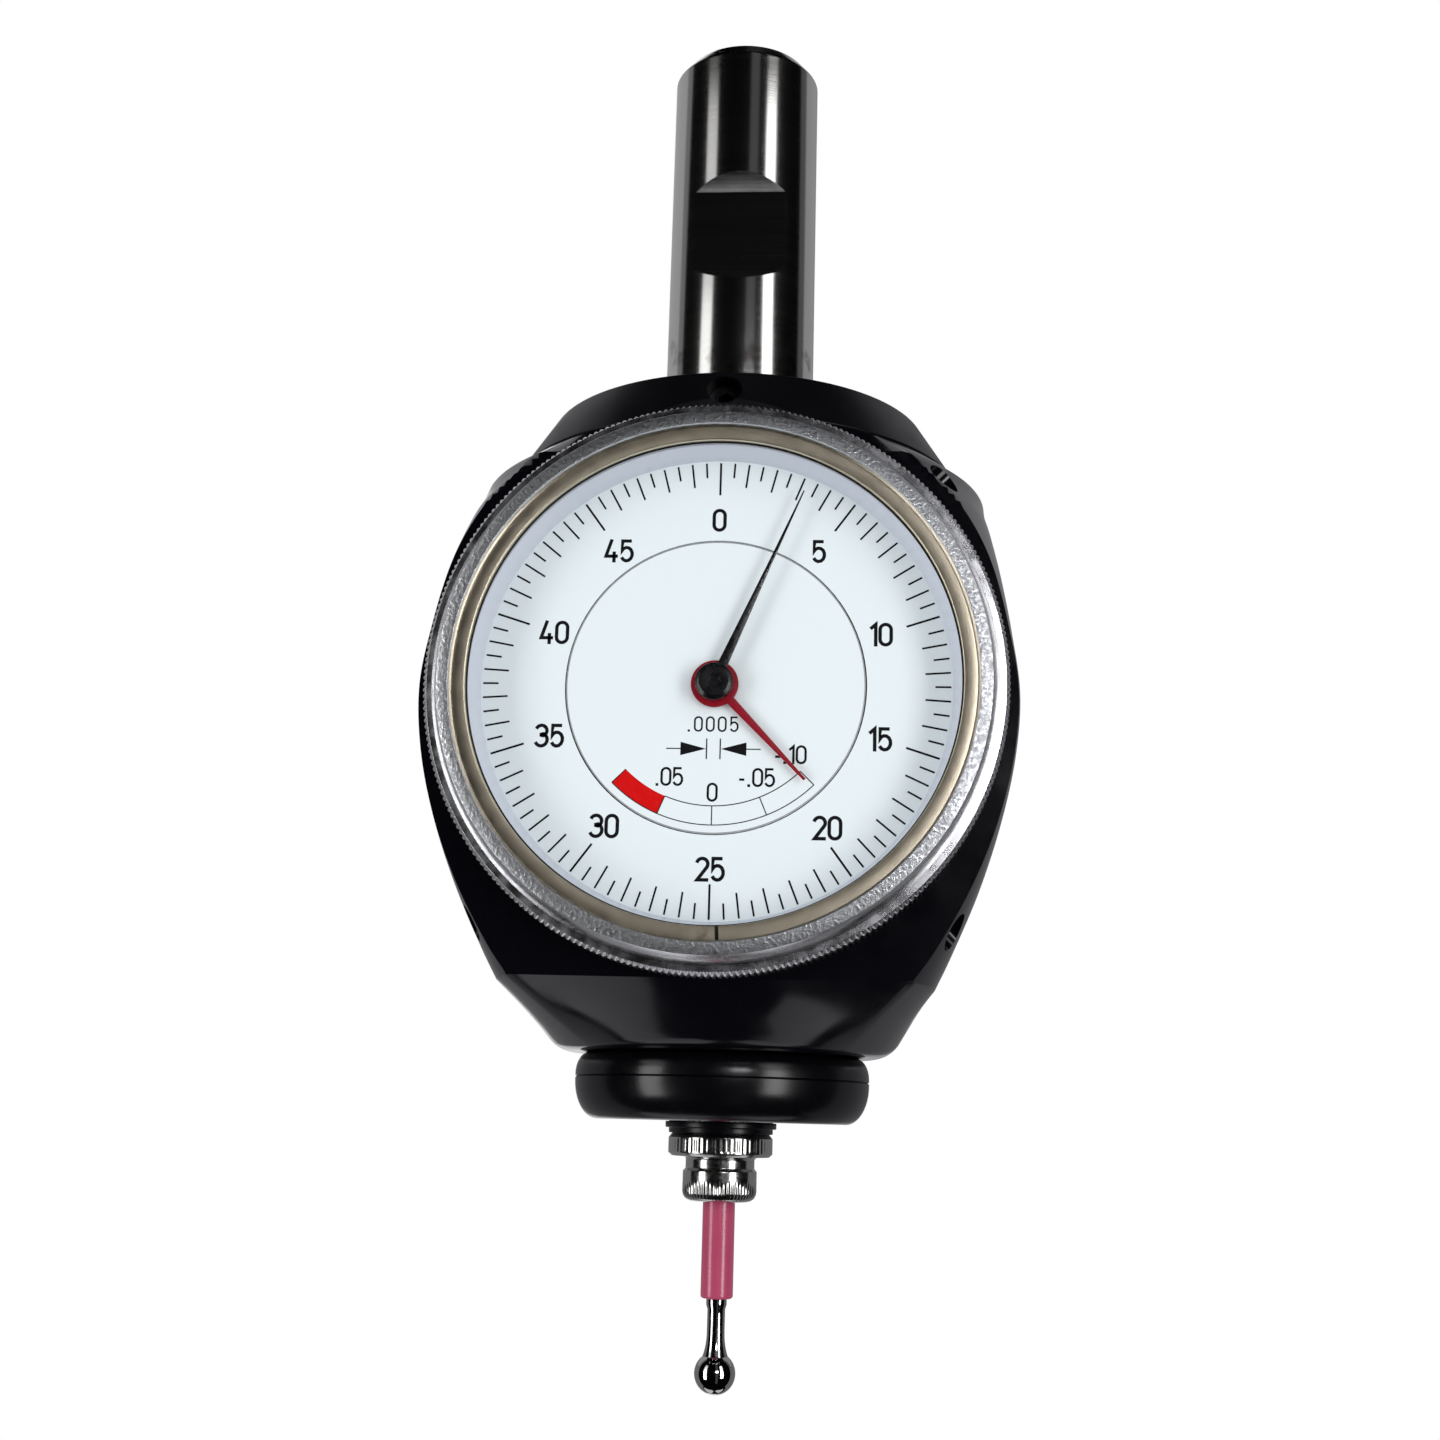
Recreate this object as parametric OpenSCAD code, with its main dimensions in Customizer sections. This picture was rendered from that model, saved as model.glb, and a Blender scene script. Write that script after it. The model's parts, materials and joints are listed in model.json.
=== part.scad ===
// Dial positioning indicator for a milling spindle.
// Origin: on the shank's axis at the top face of the cap. +Z runs up the shank, the dial faces -Y.

/* [Shank] */
// Diameter of the shank
shank_d = 15.875; // [12:0.001:20]
// Length of the shank above the cap
shank_l = 44; // [40:0.5:60]
// Height of the chamfer at the shank's end
shank_chamfer = 1.6; // [0.4:0.1:2.4]
// Length of the side-lock flat between its run-out ramps
lock_flat_l = 9.14; // [8:0.01:12]
// Height of the flat's middle above the cap
lock_flat_z = 22; // [16:0.5:26]
// Depth of the flat below the round
lock_flat_depth = 1.6; // [0.8:0.1:2.2]
// Diameter of the flange inside the cap
flange_d = 25.2; // [24.6:0.1:25.4]

/* [Cap] */
// Height of the conical cap
cap_h = 6; // [5.8:0.1:7]
// Diameter of the cap's upper rim
cap_top_d = 39.4; // [39:0.2:42]
// Diameter of the cap's lower edge
cap_bottom_d = 46.7; // [45:0.1:47.4]
// Thickness of the cap's skin over the flange
cap_skin = 1.3; // [1:0.1:1.5]
// Diameter of the radial set screws
set_screw_d = 3.5; // [3:0.1:3.8]

/* [Housing] */
// Height of the housing
body_h = 58.6; // [58:0.2:62]
// Radius of the barrel's side at its widest
body_r = 28.1; // [27.8:0.1:30]
// How far the barrel's front centre lies before the spindle axis
barrel_reach = 17.6; // [16:0.2:19]
// Distance of the front flat from the spindle axis
front_flat = 22; // [21.8:0.1:22.1]
// Radius of the bore round the plunger
bore_r = 10.5; // [10.4:0.05:10.6]
// Radius of the recess that holds the movement
recess_r = 24.5; // [24.3:0.1:24.8]
// Distance of the recess floor from the spindle axis
recess_floor = 8; // [7.8:0.1:8.4]
// Distance of the dial's centre below the cap's top face
dial_drop = 32; // [31.6:0.1:32.6]

/* [Bezel] */
// Outer diameter of the serrated rim
bezel_d = 53.4; // [52.8:0.1:56]
// Depth of the bezel in front of the flat
bezel_depth = 5; // [4.9:0.05:5.4]
// Height of the serrated band
rim_band = 2.4; // [1.6:0.1:2.6]
// Number of serrations
rim_teeth = 288; // [120:1:300]
// Width of the blasted front ring
front_ring_w = 1.35; // [1:0.05:1.5]
// Thickness of the crystal
crystal_t = 0.95; // [0.8:0.05:1]
// Gap of the snap ring
snap_gap = 0.35; // [0.2:0.05:3]

/* [Dial] */
// Height of the dial's face in front of the spindle axis
dial_face = 22.5; // [22.4:0.05:22.55]
// Thickness of both dial plates
dial_t = 0.6; // [0.4:0.05:0.65]
// Radius of the fixed centre disc
dial_centre_r = 13.75; // [10:0.05:16]
// Running gap between centre disc and scale ring
dial_gap = 0.12; // [0.05:0.01:0.3]
// Length of the main pointer
main_pointer_l = 20; // [12:0.1:21]
// Length of the coarse pointer
coarse_pointer_l = 12.1; // [8:0.1:13]
// Clockwise angle of the main pointer at rest
main_pointer_turn = 23.2; // [0:0.1:360]
// Clockwise angle of the coarse pointer at rest
coarse_pointer_turn = 136.5; // [0:0.1:360]

/* [Movement] */
// Pitch of the rack's teeth
rack_pitch = 1.27; // [1.2:0.01:1.3]
// Number of teeth on the rack pinion
rack_pinion_teeth = 16; // [15:1:17]
// Distance between the dial arbor and the step arbor
arbor_gap = 10; // [9.6:0.1:10.2]
// Number of teeth on each wheel
wheel_teeth = 40; // [36:1:48]
// Number of leaves on each small pinion
leaf_teeth = 10; // [9:1:12]
// Thickness of each movement plate
plate_t = 1.2; // [1:0.05:1.25]

/* [Plunger] */
// Diameter of the sliding tube
plunger_d = 10; // [9.6:0.1:10.4]
// Travel of the probe along the axis
plunge_travel = 5.08; // [4:0.01:5.2]
// Radial running clearance of sliding and turning fits
running_gap = 0.04; // [0.02:0.01:0.06]

/* [Probe] */
// Outer radius of the rubber boot
boot_r = 14.6; // [14:0.1:15]
// Height of the boot
boot_h = 6.4; // [6.2:0.1:6.8]
// Wall of the boot
boot_wall = 1.2; // [0.8:0.1:1.3]
// Diameter of the upper collar of the chrome nut
nut_flange_d = 10.3; // [9.6:0.1:10.8]
// Diameter of the lower collar of the chrome nut
nut_collar_d = 7.3; // [6.8:0.1:7.6]
// Diameter of the ceramic rod
rod_d = 3.16; // [2.8:0.02:3.4]
// Visible length of the ceramic rod
rod_l = 9.1; // [6:0.1:14]
// Diameter of the steel stem
stem_d = 1.84; // [1.6:0.02:2.2]
// Visible length of the stem down to the ball's centre
stem_l = 6.9; // [5:0.1:10]
// Diameter of the ball
ball_d = 4; // [3.4:0.1:6]

/* [Hidden] */
$fn = 96;

// One overrun serves every cut, one skin every thin slice
overrun = 1;
skin = 0.02;
// Clearance between parts that are fitted by hand
fit_gap = 0.05;
sides_of_hex = 6;
arc_steps = 8;
quarter = 90;
screw_count = 4;

// Shank and cap
shank_r = shank_d / 2;
chamfer_in = 1.3;
// The round's seam stands off the flat's middle
shank_seam_turn = -22.5;
flange_r = flange_d / 2;
pocket_gap = 0.4;
root_relief = 0.6;
centre_hole_r = 1.5;
centre_hole_depth = 2.4;
cap_edge = 0.3;
cap_seam = 0.2;
cap_throat_gap = 0.2;
set_screw_z = -2.4;
set_screw_l = 5.5;
socket_share = 0.5;
socket_depth = 1.6;
cap_screw_circle_r = 16.3;
cap_screw_r = 1.5;
cap_screw_head_r = 2.75;
cap_screw_head_h = 3;
cap_screw_sink_gap = 0.15;
cap_screw_end = -9.5;

// Housing. Each row of shares: depth below the housing's top, radius, reach of the centre
side_shares = [
    [0.052, 0.922, 0.148], [0.085, 0.922, 0.267], [0.137, 0.933, 0.460], [0.239, 0.956, 0.733],
    [0.341, 0.982, 0.869], [0.444, 1.000, 0.966], [0.546, 0.980, 1.000], [0.649, 0.932, 0.966],
    [0.751, 0.864, 0.869], [0.853, 0.774, 0.760], [0.898, 0.729, 0.700]
];
back_shares = [
    [0.052, 0.922], [0.137, 0.930], [0.307, 0.940], [0.444, 0.936], [0.580, 0.911], [0.717, 0.850],
    [0.853, 0.755], [0.898, 0.700]
];
body_top = -cap_h;
body_bottom = body_top - body_h;
belt_row = side_shares[len(side_shares) - 1];
belt_back_row = back_shares[len(back_shares) - 1];
foot_round = 3.3;
foot_r = 14.75;
foot_reach = 60;
ring_sides = 72;
bezel_screw_z = 19.8;
bezel_screw_inset = 0.5;
bezel_screw_l = 3.2;
dog_r = 0.6;
dog_gap = 0.25;

// Bezel. Distances along the dial axis are counted from the spindle axis
bezel_r = bezel_d / 2;
bezel_front = front_flat + bezel_depth;
bezel_back_gap = 0.2;
bezel_back = front_flat + bezel_back_gap;
spigot_gap = 0.1;
spigot_r = recess_r - spigot_gap;
spigot_wall = 1.8;
spigot_back = 17.8;
groove_w = 1.6;
groove_depth = 0.8;
dial_back = dial_face - dial_t;
lip_t = 0.8;
seat_inset = 3.05;
seat_r = bezel_r - seat_inset;
lip_w = 1.75;
lip_r = seat_r - lip_w;
snap_t = 0.55;
snap_groove_depth = 0.55;
snap_play = 0.05;
snap_front_wall = 0.6;
snap_w = 1.2;
snap_inner_r = seat_r - snap_w;
rim_chamfer = 0.35;
rim_groove_depth = 0.3;
rim_groove_w = 0.3;
front_chamfer = 0.25;
front_fall = 0.2;
serration_depth = 0.2;
crystal_front = bezel_front - snap_front_wall - snap_t - 2 * snap_play;
crystal_back = crystal_front - crystal_t;
reflector_wall = 1.1;
reflector_foot = 1.9;
ring_gap = 0.1;
bezel_screw_inner = recess_r + bezel_screw_inset;
bezel_screw_outer = bezel_screw_inner + bezel_screw_l;
dog_end = spigot_r - groove_depth + dog_gap;

// Dial and pointers
dial_hole_r = 1.7;
dial_foot_r = 0.9;
dial_foot_circle_r = 10.5;
dial_foot_count = 3;
dial_foot_turn = 60;
coarse_hub_r = 2.18;
coarse_pointer_z = 22.95;
coarse_pointer_t = 0.25;
coarse_arm_w = 0.95;
coarse_tip_w = 0.25;
main_pointer_z = 23.55;
main_pointer_t = 0.2;
main_hub_r = 1.25;
main_arm_w = 0.95;
main_waist_w = 0.34;
main_waist_share = 0.66;
main_tip_w = 0.12;
hub_cap_r = 1.74;
hub_cap_h = 0.65;
hub_cap_round = 0.3;

// Movement
plate_gap = 7.4;
back_plate_z = 10.8;
front_plate_z = back_plate_z + plate_t + plate_gap;
plate_room = 1;
front_plate_r = spigot_r - spigot_wall - plate_room;
back_plate_room = 2.5;
back_plate_r = recess_r - back_plate_room;
pillar_r = 1.8;
pillar_inset = 3.1;
pillar_circle_r = front_plate_r - pillar_inset;
plate_screw_r = 1;
plate_screw_head_r = 1.9;
plate_screw_head_h = 0.6;
plate_screw_end = 5.5;
slot_w = 4;
slot_x = -5;
slot_low = -9.6;
slot_high = 0.7;
main_arbor_r = 0.7;
sleeve_r = 1.2;
step_arbor_r = 0.6;
sleeve_back = 14;
pinion_z = 14.6;
pinion_t = 1.8;
coarse_wheel_z = 17.6;
wheel_t = 0.8;
main_wheel_z = 12.7;
leaf_extra = 0.1;
wheel_rim = 1.1;
wheel_hub_r = 2;
wheel_arm_w = 0.9;
wheel_arm_count = 4;
tooth_share = 0.42;
tooth_rise = 0.35;
tooth_depth = 0.5;
pressure_turn = 20;
gear_module = 2 * arbor_gap / (wheel_teeth + leaf_teeth);
rack_pinion_r = rack_pitch * rack_pinion_teeth / (2 * PI);

// Plunger and guides
plunger_r = plunger_d / 2;
plunger_bore_r = 2.6;
plunger_drop = 9.8;
plunger_top = body_top - plunger_drop;
yoke_rise = 4.6;
yoke_top = body_bottom + yoke_rise;
yoke_t = 1.5;
yoke_gap = 0.5;
yoke_bottom = yoke_top - yoke_t;
lower_bush_rise = 18.2;
lower_bush_top = body_bottom + lower_bush_rise;
lower_bush_l = 8;
upper_bush_drop = 8;
upper_bush_top = body_top - upper_bush_drop;
upper_bush_l = 6;
clamp_r = 7.4;
clamp_h = 4;
clamp_rise = 9.4;
clamp_top = lower_bush_top + clamp_rise;
rack_back_x = -6.4;
rack_front_z = 16.5;
rack_back_z = 14.5;
rack_rise = 2.5;
rack_top = rack_rise - dial_drop;
spring_wire_d = 1.1;
spring_mean_r = 6.5;
spring_turns = 7;
spring_gap = 0.1;
coil_steps = 24;
wire_sides = 8;

// Cross joint and probe
pivot_drop = 1.4;
pivot_z = body_bottom - pivot_drop;
ear_in = 8.8;
ear_out = 10;
ear_w = 4;
ear_drop = 2;
gimbal_in = 6.6;
gimbal_out = 8.4;
gimbal_h = 3;
pin_r = 0.8;
pin_in = 3.6;
hub_r = 5.6;
hub_rise = 2.4;
hub_top = pivot_z + hub_rise;
hub_drop = 2.2;
hub_bottom = pivot_z - hub_drop;
neck_r = 5.15;
boot_top = body_bottom;
boot_bottom = boot_top - boot_h;
boot_mouth_r = 10.7;
boot_shoulder = 1.1;
boot_round = 2.2;
boot_line_share = 0.36;
boot_line_w = 0.12;
boot_line_depth = 0.12;
lip_gap = 0.05;
collar_r = 5.5;
collar_h = 0.6;
collar_step_h = 0.5;
collar_top = boot_bottom - lip_gap;
nut_top = collar_top - collar_h - collar_step_h;
nut_flange_h = 2.2;
nut_bevel = 0.2;
nut_neck_r = 3.4;
nut_neck_h = 1.2;
nut_collar_h = 3.1;
nut_round = 1;
nut_bottom = nut_top - nut_flange_h - nut_neck_h - nut_collar_h;
stud_r = 1.5;
stud_l = 4;
rod_seat_l = 3;
rod_round = 0.25;
rod_bottom = nut_bottom - rod_l;
stem_seat_r = 0.6;
stem_seat_l = 3;
ball_r = ball_d / 2;
ball_z = rod_bottom - stem_l;
flare_l = 2;
flare_turn = 52;

// Local frame of the dial: X right, Y up, Z out of the face, origin on the spindle axis
module dial_frame() {
    translate([0, 0, -dial_drop])
        rotate([quarter, 0, 0])
            children();
}

module tube(r_out, r_in, h) {
    difference() {
        cylinder(h = h, r = r_out);
        translate([0, 0, -overrun])
            cylinder(h = h + 2 * overrun, r = r_in);
    }
}

module four_round(r, turn = 45) {
    for (i = [0 : screw_count - 1])
        rotate(turn + i * 360 / screw_count)
            translate([r, 0, 0])
                children();
}

// Involute helpers: half the angle that a tooth fills at radius r
function inv(a) = tan(a) * 180 / PI - a;
function tooth_half(r, pitch_r, teeth) =
    180 * tooth_share / teeth + inv(pressure_turn)
    - inv(acos(min(1, pitch_r * cos(pressure_turn) / r)));
function gear_points(teeth, pitch_r, rise, depth) = [
    for (i = [0 : teeth - 1])
        for (s = [-1, 1])
            for (k = [0 : 3])
                let (
                    step = s < 0 ? k : 3 - k,
                    r = [
                        pitch_r - depth, pitch_r * cos(pressure_turn), pitch_r, pitch_r + rise
                    ][step],
                    a = i * 360 / teeth + s * tooth_half(max(r, pitch_r * cos(pressure_turn)), pitch_r, teeth)
                )
                [r * cos(a), r * sin(a)]
];

module gear(teeth, pitch_r, t) {
    linear_extrude(t)
        polygon(gear_points(teeth, pitch_r, tooth_rise, tooth_depth));
}

// A wheel with four arms between hub and rim
module wheel(t) {
    pitch_r = gear_module * wheel_teeth / 2;
    window_r = pitch_r - tooth_depth - wheel_rim;
    difference() {
        gear(wheel_teeth, pitch_r, t);
        translate([0, 0, -overrun])
            linear_extrude(t + 2 * overrun)
                difference() {
                    circle(window_r);
                    circle(wheel_hub_r);
                    for (i = [0 : wheel_arm_count - 1])
                        rotate(45 + i * 360 / wheel_arm_count)
                            translate([0, -wheel_arm_w / 2])
                                square([window_r + overrun, wheel_arm_w]);
                }
    }
}

// Quarter arc round (x, y), from its right to its lowest point
function corner_arc(x, y, r) = [
    for (k = [0 : arc_steps])
        [x + r * cos(quarter * k / arc_steps), y - r * sin(quarter * k / arc_steps)]
];

// Socket set screw along +Z, its tip at the origin
module set_screw(d, l) {
    difference() {
        cylinder(h = l, d = d - 2 * fit_gap);
        translate([0, 0, l - socket_depth])
            cylinder(h = socket_depth + overrun, r = d * socket_share / 2, $fn = sides_of_hex);
    }
}

module shank() {
    color("silver")
        difference() {
            union() {
                rotate(shank_seam_turn) {
                    cylinder(h = shank_l - shank_chamfer, r = shank_r);
                    translate([0, 0, shank_l - shank_chamfer])
                        cylinder(h = shank_chamfer, r1 = shank_r, r2 = shank_r - chamfer_in);
                    translate([0, 0, -cap_h])
                        cylinder(h = cap_h + skin, r = shank_r - root_relief);
                }
                translate([0, 0, -cap_h])
                    cylinder(h = cap_h - cap_skin, r = flange_r);
            }
            translate([-shank_r, 0, lock_flat_z])
                rotate([quarter, 0, quarter])
                    linear_extrude(shank_d)
                        polygon([
                            [lock_flat_depth - shank_r, -lock_flat_l / 2],
                            [lock_flat_depth - shank_r, lock_flat_l / 2],
                            [-shank_r - overrun, lock_flat_l / 2 + lock_flat_depth + overrun],
                            [-shank_r - overrun, -lock_flat_l / 2 - lock_flat_depth - overrun]
                        ]);
            translate([0, 0, shank_l - centre_hole_depth])
                cylinder(h = centre_hole_depth, r1 = 0, r2 = centre_hole_r);
        }
}

module top_cap() {
    color([0.08, 0.08, 0.09])
        difference() {
            rotate_extrude()
                polygon([
                    [shank_r + cap_throat_gap, 0],
                    [cap_top_d / 2 - cap_edge, 0],
                    [cap_top_d / 2, -cap_edge],
                    [cap_bottom_d / 2, cap_seam - cap_h],
                    [cap_bottom_d / 2 - cap_seam, -cap_h],
                    [flange_r + pocket_gap, -cap_h],
                    [flange_r + pocket_gap, -cap_skin + fit_gap],
                    [shank_r + cap_throat_gap, -cap_skin + fit_gap]
                ]);
            four_round(flange_r, 0)
                translate([0, 0, set_screw_z])
                    rotate([0, quarter, 0])
                        cylinder(h = cap_bottom_d / 2, d = set_screw_d);
            four_round(cap_screw_circle_r) {
                translate([0, 0, -cap_h - overrun])
                    cylinder(h = cap_h + 2 * overrun, r = cap_screw_r + fit_gap);
                translate([0, 0, -cap_screw_head_h - fit_gap])
                    cylinder(h = cap_h, r = cap_screw_head_r + cap_screw_sink_gap);
            }
            front_room();
        }
}

module cap_screws() {
    color([0.12, 0.12, 0.13])
        four_round(cap_screw_circle_r)
            difference() {
                union() {
                    translate([0, 0, cap_screw_end])
                        cylinder(h = -cap_screw_end - cap_screw_head_h, r = cap_screw_r);
                    translate([0, 0, -cap_screw_head_h])
                        cylinder(h = cap_screw_head_h - fit_gap, r = cap_screw_head_r);
                }
                translate([0, 0, -socket_depth])
                    cylinder(h = cap_h, r = cap_screw_head_r * socket_share, $fn = sides_of_hex);
            }
}

module centring_screws() {
    color([0.12, 0.12, 0.13])
        four_round(flange_r + fit_gap, 0)
            translate([0, 0, set_screw_z])
                rotate([0, quarter, 0])
                    set_screw(set_screw_d, set_screw_l);
}

// One level of the barrel: a disc whose centre lies before the spindle axis
module side_slice(row) {
    translate([0, -barrel_reach * row[2], body_top - body_h * row[0]])
        cylinder(h = skin, r = body_r * row[1], $fn = ring_sides);
}

module back_slice(row) {
    translate([0, 0, body_top - body_h * row[0]])
        cylinder(h = skin, r = body_r * row[1], $fn = ring_sides);
}

// Room before the flat, taken away from every slice and from the cap
module front_room() {
    translate([-foot_reach, -front_flat - foot_reach, body_bottom - overrun])
        cube([2 * foot_reach, foot_reach, body_h + cap_h + 2 * overrun]);
}

module barrel() {
    difference() {
        hull() {
            translate([0, 0, body_top - skin])
                cylinder(h = skin, d = cap_bottom_d, $fn = ring_sides);
            for (row = side_shares)
                side_slice(row);
            for (row = back_shares)
                back_slice(row);
        }
        front_room();
    }
}

module lower_cone() {
    hull() {
        difference() {
            side_slice(belt_row);
            front_room();
        }
        back_slice(belt_back_row);
        translate([0, 0, body_bottom + foot_round])
            rotate_extrude($fn = ring_sides)
                translate([foot_r, 0])
                    circle(foot_round, $fn = 16);
    }
}

module housing() {
    color([0.07, 0.07, 0.08])
        difference() {
            union() {
                barrel();
                lower_cone();
            }
            dial_frame()
                translate([0, 0, recess_floor])
                    cylinder(h = foot_reach, r = recess_r);
            translate([0, 0, body_bottom - overrun])
                cylinder(h = body_h + 2 * overrun, r = bore_r);
            dial_frame()
                four_round(recess_r - overrun)
                    translate([0, 0, bezel_screw_z])
                        rotate([0, quarter, 0])
                            cylinder(h = body_r, d = set_screw_d);
            dial_frame()
                four_round(pillar_circle_r)
                    translate([0, 0, plate_screw_end])
                        cylinder(h = recess_floor, r = plate_screw_r);
            four_round(cap_screw_circle_r)
                translate([0, 0, cap_screw_end])
                    cylinder(h = cap_h, r = cap_screw_r);
        }
}

module bezel_screws() {
    color([0.12, 0.12, 0.13])
        dial_frame()
            four_round(bezel_screw_inner)
                translate([0, 0, bezel_screw_z])
                    rotate([0, quarter, 0]) {
                        set_screw(set_screw_d, bezel_screw_outer - bezel_screw_inner);
                        translate([0, 0, dog_end - bezel_screw_inner])
                            cylinder(h = bezel_screw_inner - dog_end + skin, r = dog_r);
                    }
}

module lower_bush() {
    color("darkgoldenrod")
        translate([0, 0, lower_bush_top - lower_bush_l])
            tube(bore_r, plunger_r + running_gap, lower_bush_l);
}

module upper_bush() {
    color("darkgoldenrod")
        translate([0, 0, upper_bush_top - upper_bush_l])
            tube(bore_r, plunger_r + running_gap, upper_bush_l);
}

module plate_holes() {
    four_round(pillar_circle_r)
        translate([0, 0, -overrun])
            cylinder(h = plate_t + 2 * overrun, r = plate_screw_r + fit_gap);
    translate([arbor_gap, 0, -overrun])
        cylinder(h = plate_t + 2 * overrun, r = step_arbor_r + running_gap);
}

module front_plate() {
    color("goldenrod")
        dial_frame()
            translate([0, 0, front_plate_z])
                difference() {
                    cylinder(h = plate_t, r = front_plate_r);
                    plate_holes();
                    translate([0, 0, -overrun])
                        cylinder(h = plate_t + 2 * overrun, r = sleeve_r + running_gap);
                }
}

module back_plate() {
    color("goldenrod")
        dial_frame()
            translate([0, 0, back_plate_z])
                difference() {
                    cylinder(h = plate_t, r = back_plate_r);
                    plate_holes();
                    translate([0, 0, -overrun])
                        cylinder(h = plate_t + 2 * overrun, r = main_arbor_r + running_gap);
                    translate([slot_x - slot_w / 2, slot_low, -overrun])
                        cube([slot_w, slot_high - slot_low, plate_t + 2 * overrun]);
                }
}

module pillars() {
    color("goldenrod")
        dial_frame()
            four_round(pillar_circle_r) {
                translate([0, 0, recess_floor])
                    tube(pillar_r, plate_screw_r + fit_gap, back_plate_z - recess_floor);
                translate([0, 0, back_plate_z + plate_t])
                    tube(pillar_r, plate_screw_r + fit_gap, plate_gap);
            }
}

module plate_screws() {
    color("silver")
        dial_frame()
            four_round(pillar_circle_r)
                difference() {
                    union() {
                        translate([0, 0, plate_screw_end])
                            cylinder(h = front_plate_z + plate_t - plate_screw_end, r = plate_screw_r);
                        translate([0, 0, front_plate_z + plate_t])
                            cylinder(h = plate_screw_head_h, r = plate_screw_head_r);
                    }
                    translate([
                        -plate_screw_head_r, -plate_screw_head_h / 2,
                        front_plate_z + plate_t + plate_screw_head_h / 2
                    ])
                        cube([2 * plate_screw_head_r, plate_screw_head_h, plate_screw_head_h]);
                }
}

module dial_centre() {
    color("white")
        dial_frame() {
            translate([0, 0, dial_back])
                tube(dial_centre_r, dial_hole_r, dial_t);
            for (i = [0 : dial_foot_count - 1])
                rotate(dial_foot_turn + i * 360 / dial_foot_count)
                    translate([dial_foot_circle_r, 0, front_plate_z + plate_t])
                        cylinder(h = dial_back - front_plate_z - plate_t + skin, r = dial_foot_r);
        }
}

module dial_ring() {
    color("white")
        dial_frame()
            translate([0, 0, dial_back])
                tube(seat_r - ring_gap, dial_centre_r + dial_gap, dial_t);
}

module reflector_ring() {
    color([0.85, 0.88, 0.93])
        dial_frame()
            translate([0, 0, dial_face])
                difference() {
                    cylinder(h = crystal_back - dial_face, r = seat_r - ring_gap);
                    cylinder(
                        h = crystal_back - dial_face, r1 = seat_r - ring_gap - reflector_foot,
                        r2 = seat_r - ring_gap - reflector_wall
                    );
                    translate([0, 0, -overrun])
                        cylinder(h = 2 * overrun, r = seat_r - ring_gap - reflector_foot);
                    translate([0, 0, crystal_back - dial_face - skin])
                        cylinder(h = overrun, r = seat_r - ring_gap - reflector_wall);
                }
}

module crystal() {
    color([0.9, 0.95, 1, 0.3])
        dial_frame()
            translate([0, 0, crystal_back])
                cylinder(h = crystal_t, r = seat_r - ring_gap);
}

module snap_ring() {
    color("tan")
        dial_frame()
            translate([0, 0, crystal_front + snap_play])
                difference() {
                    tube(seat_r + snap_groove_depth - snap_play, snap_inner_r, snap_t);
                    translate([-snap_gap / 2, -seat_r - overrun, -overrun])
                        cube([snap_gap, seat_r, snap_t + 2 * overrun]);
                }
}

// Outline of the rim: shallow straight serrations
function rim_points(teeth, r, depth) = [
    for (i = [0 : 2 * teeth - 1])
        let (a = i * 180 / teeth, q = i % 2 == 0 ? r : r - depth)
        [q * cos(a), q * sin(a)]
];

module bezel() {
    band_front = bezel_back + rim_band;
    rim_in = bezel_r - 2 * serration_depth;
    slope_r = seat_r + front_ring_w;
    color([0.75, 0.76, 0.78])
        dial_frame()
            difference() {
                union() {
                    translate([0, 0, bezel_back])
                        linear_extrude(rim_band)
                            polygon(rim_points(rim_teeth, bezel_r, serration_depth));
                    rotate_extrude()
                        polygon([
                            [0, spigot_back],
                            [spigot_r, spigot_back],
                            [spigot_r, bezel_screw_z - groove_w / 2],
                            [spigot_r - groove_depth, bezel_screw_z - groove_w / 2],
                            [spigot_r - groove_depth, bezel_screw_z + groove_w / 2],
                            [spigot_r, bezel_screw_z + groove_w / 2],
                            [spigot_r, bezel_back],
                            [rim_in, bezel_back],
                            [rim_in, band_front],
                            [rim_in - rim_chamfer, band_front + rim_chamfer],
                            [rim_in - rim_chamfer - rim_groove_depth, band_front + rim_chamfer],
                            [rim_in - rim_chamfer - rim_groove_depth,
                                band_front + rim_chamfer + rim_groove_w],
                            [slope_r, bezel_front - front_fall],
                            [seat_r + front_chamfer, bezel_front],
                            [0, bezel_front]
                        ]);
                }
                translate([0, 0, spigot_back - overrun])
                    cylinder(h = bezel_depth + front_flat, r = lip_r);
                translate([0, 0, spigot_back - overrun])
                    cylinder(h = dial_back - lip_t - spigot_back + overrun, r = spigot_r - spigot_wall);
                translate([0, 0, dial_back])
                    cylinder(h = bezel_depth + front_flat, r = seat_r);
                translate([0, 0, crystal_front])
                    cylinder(h = snap_t + 2 * snap_play, r = seat_r + snap_groove_depth);
                translate([0, 0, bezel_front - snap_front_wall + skin])
                    cylinder(
                        h = snap_front_wall, r1 = seat_r, r2 = seat_r + front_chamfer
                    );
            }
}

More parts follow.
